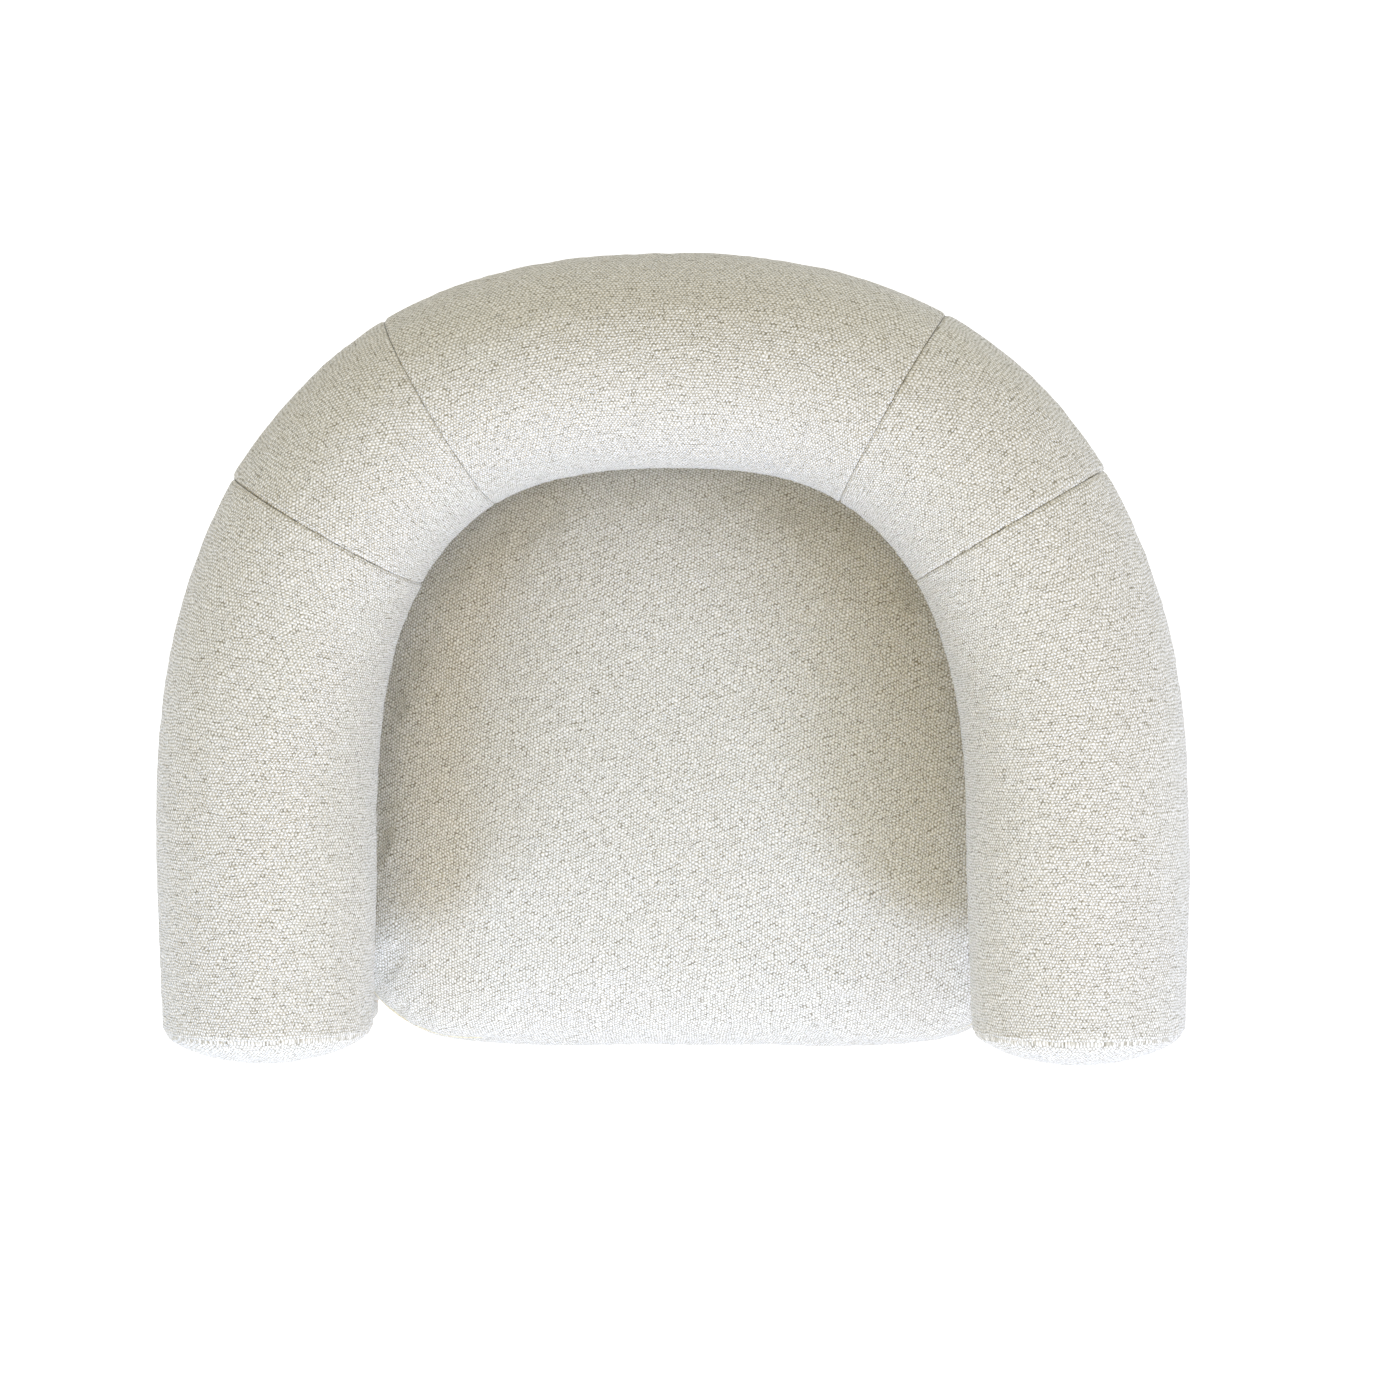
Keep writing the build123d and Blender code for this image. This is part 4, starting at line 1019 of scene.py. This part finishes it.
def make_spring_cover():
    """Hessian laid over the springs: it follows the seat frame and dips a little between the springs."""
    outline = seat_outline(SEAT_HIGH.x - SPRING_CLOTH_HIGH.x, 320)
    middle = np.array([0.0, CROWN_Y])
    share = np.linspace(0.01, 1, 70)
    plan = middle + (outline - middle)[None] * share[:, None, None]
    inside = np.clip((0.2 - np.abs(plan[..., 0])) / 0.03, 0, 1)
    dip = HESSIAN_DIP * (1 - np.cos(2 * math.pi * plan[..., 0] / SPRING_SPACING)) * inside
    top = SPRING_CLOTH_HIGH.z - HESSIAN_GAP - dip
    upper = np.concatenate([plan, top[..., None]], -1)
    lower = upper - [0, 0, HESSIAN_THICKNESS]
    rings = np.concatenate([upper, lower[::-1]])
    sheet = disc("spring_cover_hessian", rings, np.concatenate([plan, plan[::-1]]))
    settle(sheet, HESSIAN, "spring_cloth", "spring_cover")


def finish_nodes():
    """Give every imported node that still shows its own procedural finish."""
    for name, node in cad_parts.items():
        if node.hide_render:
            continue
        if name.endswith("_post"):
            finish = POST_WOOD
        elif name in ("left_rail", "right_rail"):
            finish = SIDE_WOOD
        elif name.endswith("_rail") or name == "corner_blocks":
            finish = FRAME_WOOD
        elif "foam" in name or "padding" in name:
            finish = FOAM
        elif name == "foot_glides":
            finish = NYLON
        elif "board" in name or name == "seat_ledge":
            finish = PLYWOOD
        else:
            finish = STEEL
        node.data.materials.clear()
        node.data.materials.append(finish)


# ==== Stage, lights and camera ====
CAMERA_SIDE, CAMERA_FORWARD, CAMERA_HEIGHT = 0.270, -0.201, 3.860   # from the widest line, at the floor
CAMERA_TURN = (0.0998, 0.0727, 0.0027)                              # radians about X, Y and Z
LENS = 96.7
LIGHTS = (                      # compass way and rise in degrees, distance, size, watts, colour
    ("front_right", 38.0, 24.0, 2.6, 0.6, 32.5, (0.606, 0.705, 1.0)),
    ("front_left", -35.4, 24.1, 2.08, 0.5, 16.4, (0.626, 0.739, 1.0)),
    ("above", 0.0, 78.0, 2.6, 1.5, 18.3, (1.0, 0.74, 0.27)),
    ("right_side", 80.0, 55.0, 2.6, 1.5, 18.3, (0.70, 0.80, 1.0)),
    ("left_side", -59.4, 56.8, 2.33, 0.5, 8.0, (0.45, 0.64, 1.0)),
    ("behind", 180.0, 55.0, 2.6, 1.5, 5.6, (0.5, 0.77, 1.0)),
)
SURROUND = (0.364, 0.323, 0.236)
LIGHT_TARGET = (0.0, 0.0, 0.45)
FLOOR_HALF, FLOOR_RIM = 60.0, 6.0


def make_camera():
    """A long lens nearly straight above the chair."""
    data = bpy.data.cameras.new("camera")
    data.lens = LENS
    data.sensor_width = 36
    data.clip_end = 50
    camera = bpy.data.objects.new("camera", data)
    camera.location = (CAMERA_SIDE, WIDEST_Y + CAMERA_FORWARD, CAMERA_HEIGHT)
    camera.rotation_euler = CAMERA_TURN
    bpy.context.scene.collection.objects.link(camera)
    bpy.context.scene.camera = camera


def make_lights():
    """Soft cool keys low in front, weaker lights above, beside and behind, and a dim warm surround."""
    target = np.array(LIGHT_TARGET)
    for name, way_round, rise, distance, size, power, colour in LIGHTS:
        side, rise = math.radians(way_round), math.radians(rise)
        data = bpy.data.lights.new(name, "AREA")
        data.shape = "DISK"
        data.size = size
        data.energy = power
        data.color = colour
        light = bpy.data.objects.new(name, data)
        way = np.array([math.sin(side) * math.cos(rise), -math.cos(side) * math.cos(rise), math.sin(rise)])
        light.location = target + way * distance
        light.rotation_euler = (math.pi / 2 - rise, 0, side)
        light.visible_camera = False
        bpy.context.scene.collection.objects.link(light)
    world = bpy.data.worlds.new("surround")
    world.use_nodes = True
    world.node_tree.nodes["Background"].inputs["Color"].default_value = (*SURROUND, 1)
    world.node_tree.nodes["Background"].inputs["Strength"].default_value = 1.0
    bpy.context.scene.world = world


def make_floor():
    """A plain pale floor with a low far rim, bright enough to read as a white sweep."""
    made = material("studio_floor", **{
        "Base Color": (0.4, 0.4, 0.4, 1), "Roughness": 0.9,
        "Emission Color": (1, 1, 1, 1), "Emission Strength": 1.0})[0]
    half = FLOOR_HALF
    corners = np.array([[-half, -half, 0], [half, -half, 0], [half, half, 0], [-half, half, 0]])
    points = np.concatenate([corners, corners + [0, 0, FLOOR_RIM]])
    n = np.arange(4)
    sides = np.stack([n, n + 4, (n + 1) % 4 + 4, (n + 1) % 4], -1)
    faces = np.concatenate([[[0, 1, 2, 3]], sides])
    floor = new_object("studio_floor", points, [faces], points[faces.ravel(), :2])
    floor.data.materials.append(made)


make_camera()
make_lights()
make_floor()
bpy.context.scene.view_settings.view_transform = "Standard"
make_roll()
make_end_cap(1, "right_end_cap", 140)
make_end_cap(-1, "left_end_cap", 160)
make_shell()
for number, side in enumerate(("right", "left")):
    make_arm_front(side + "_arm_front_cover", 240 + 10 * number)
    make_arm_front_foam(side + "_arm_front_padding")
make_seat()
make_border()
for foot in ("front_left_foot", "front_right_foot", "rear_left_foot", "rear_right_foot"):
    make_foot(foot + "_turned", foot)
make_dust_cover()
make_spring_cover()
finish_nodes()
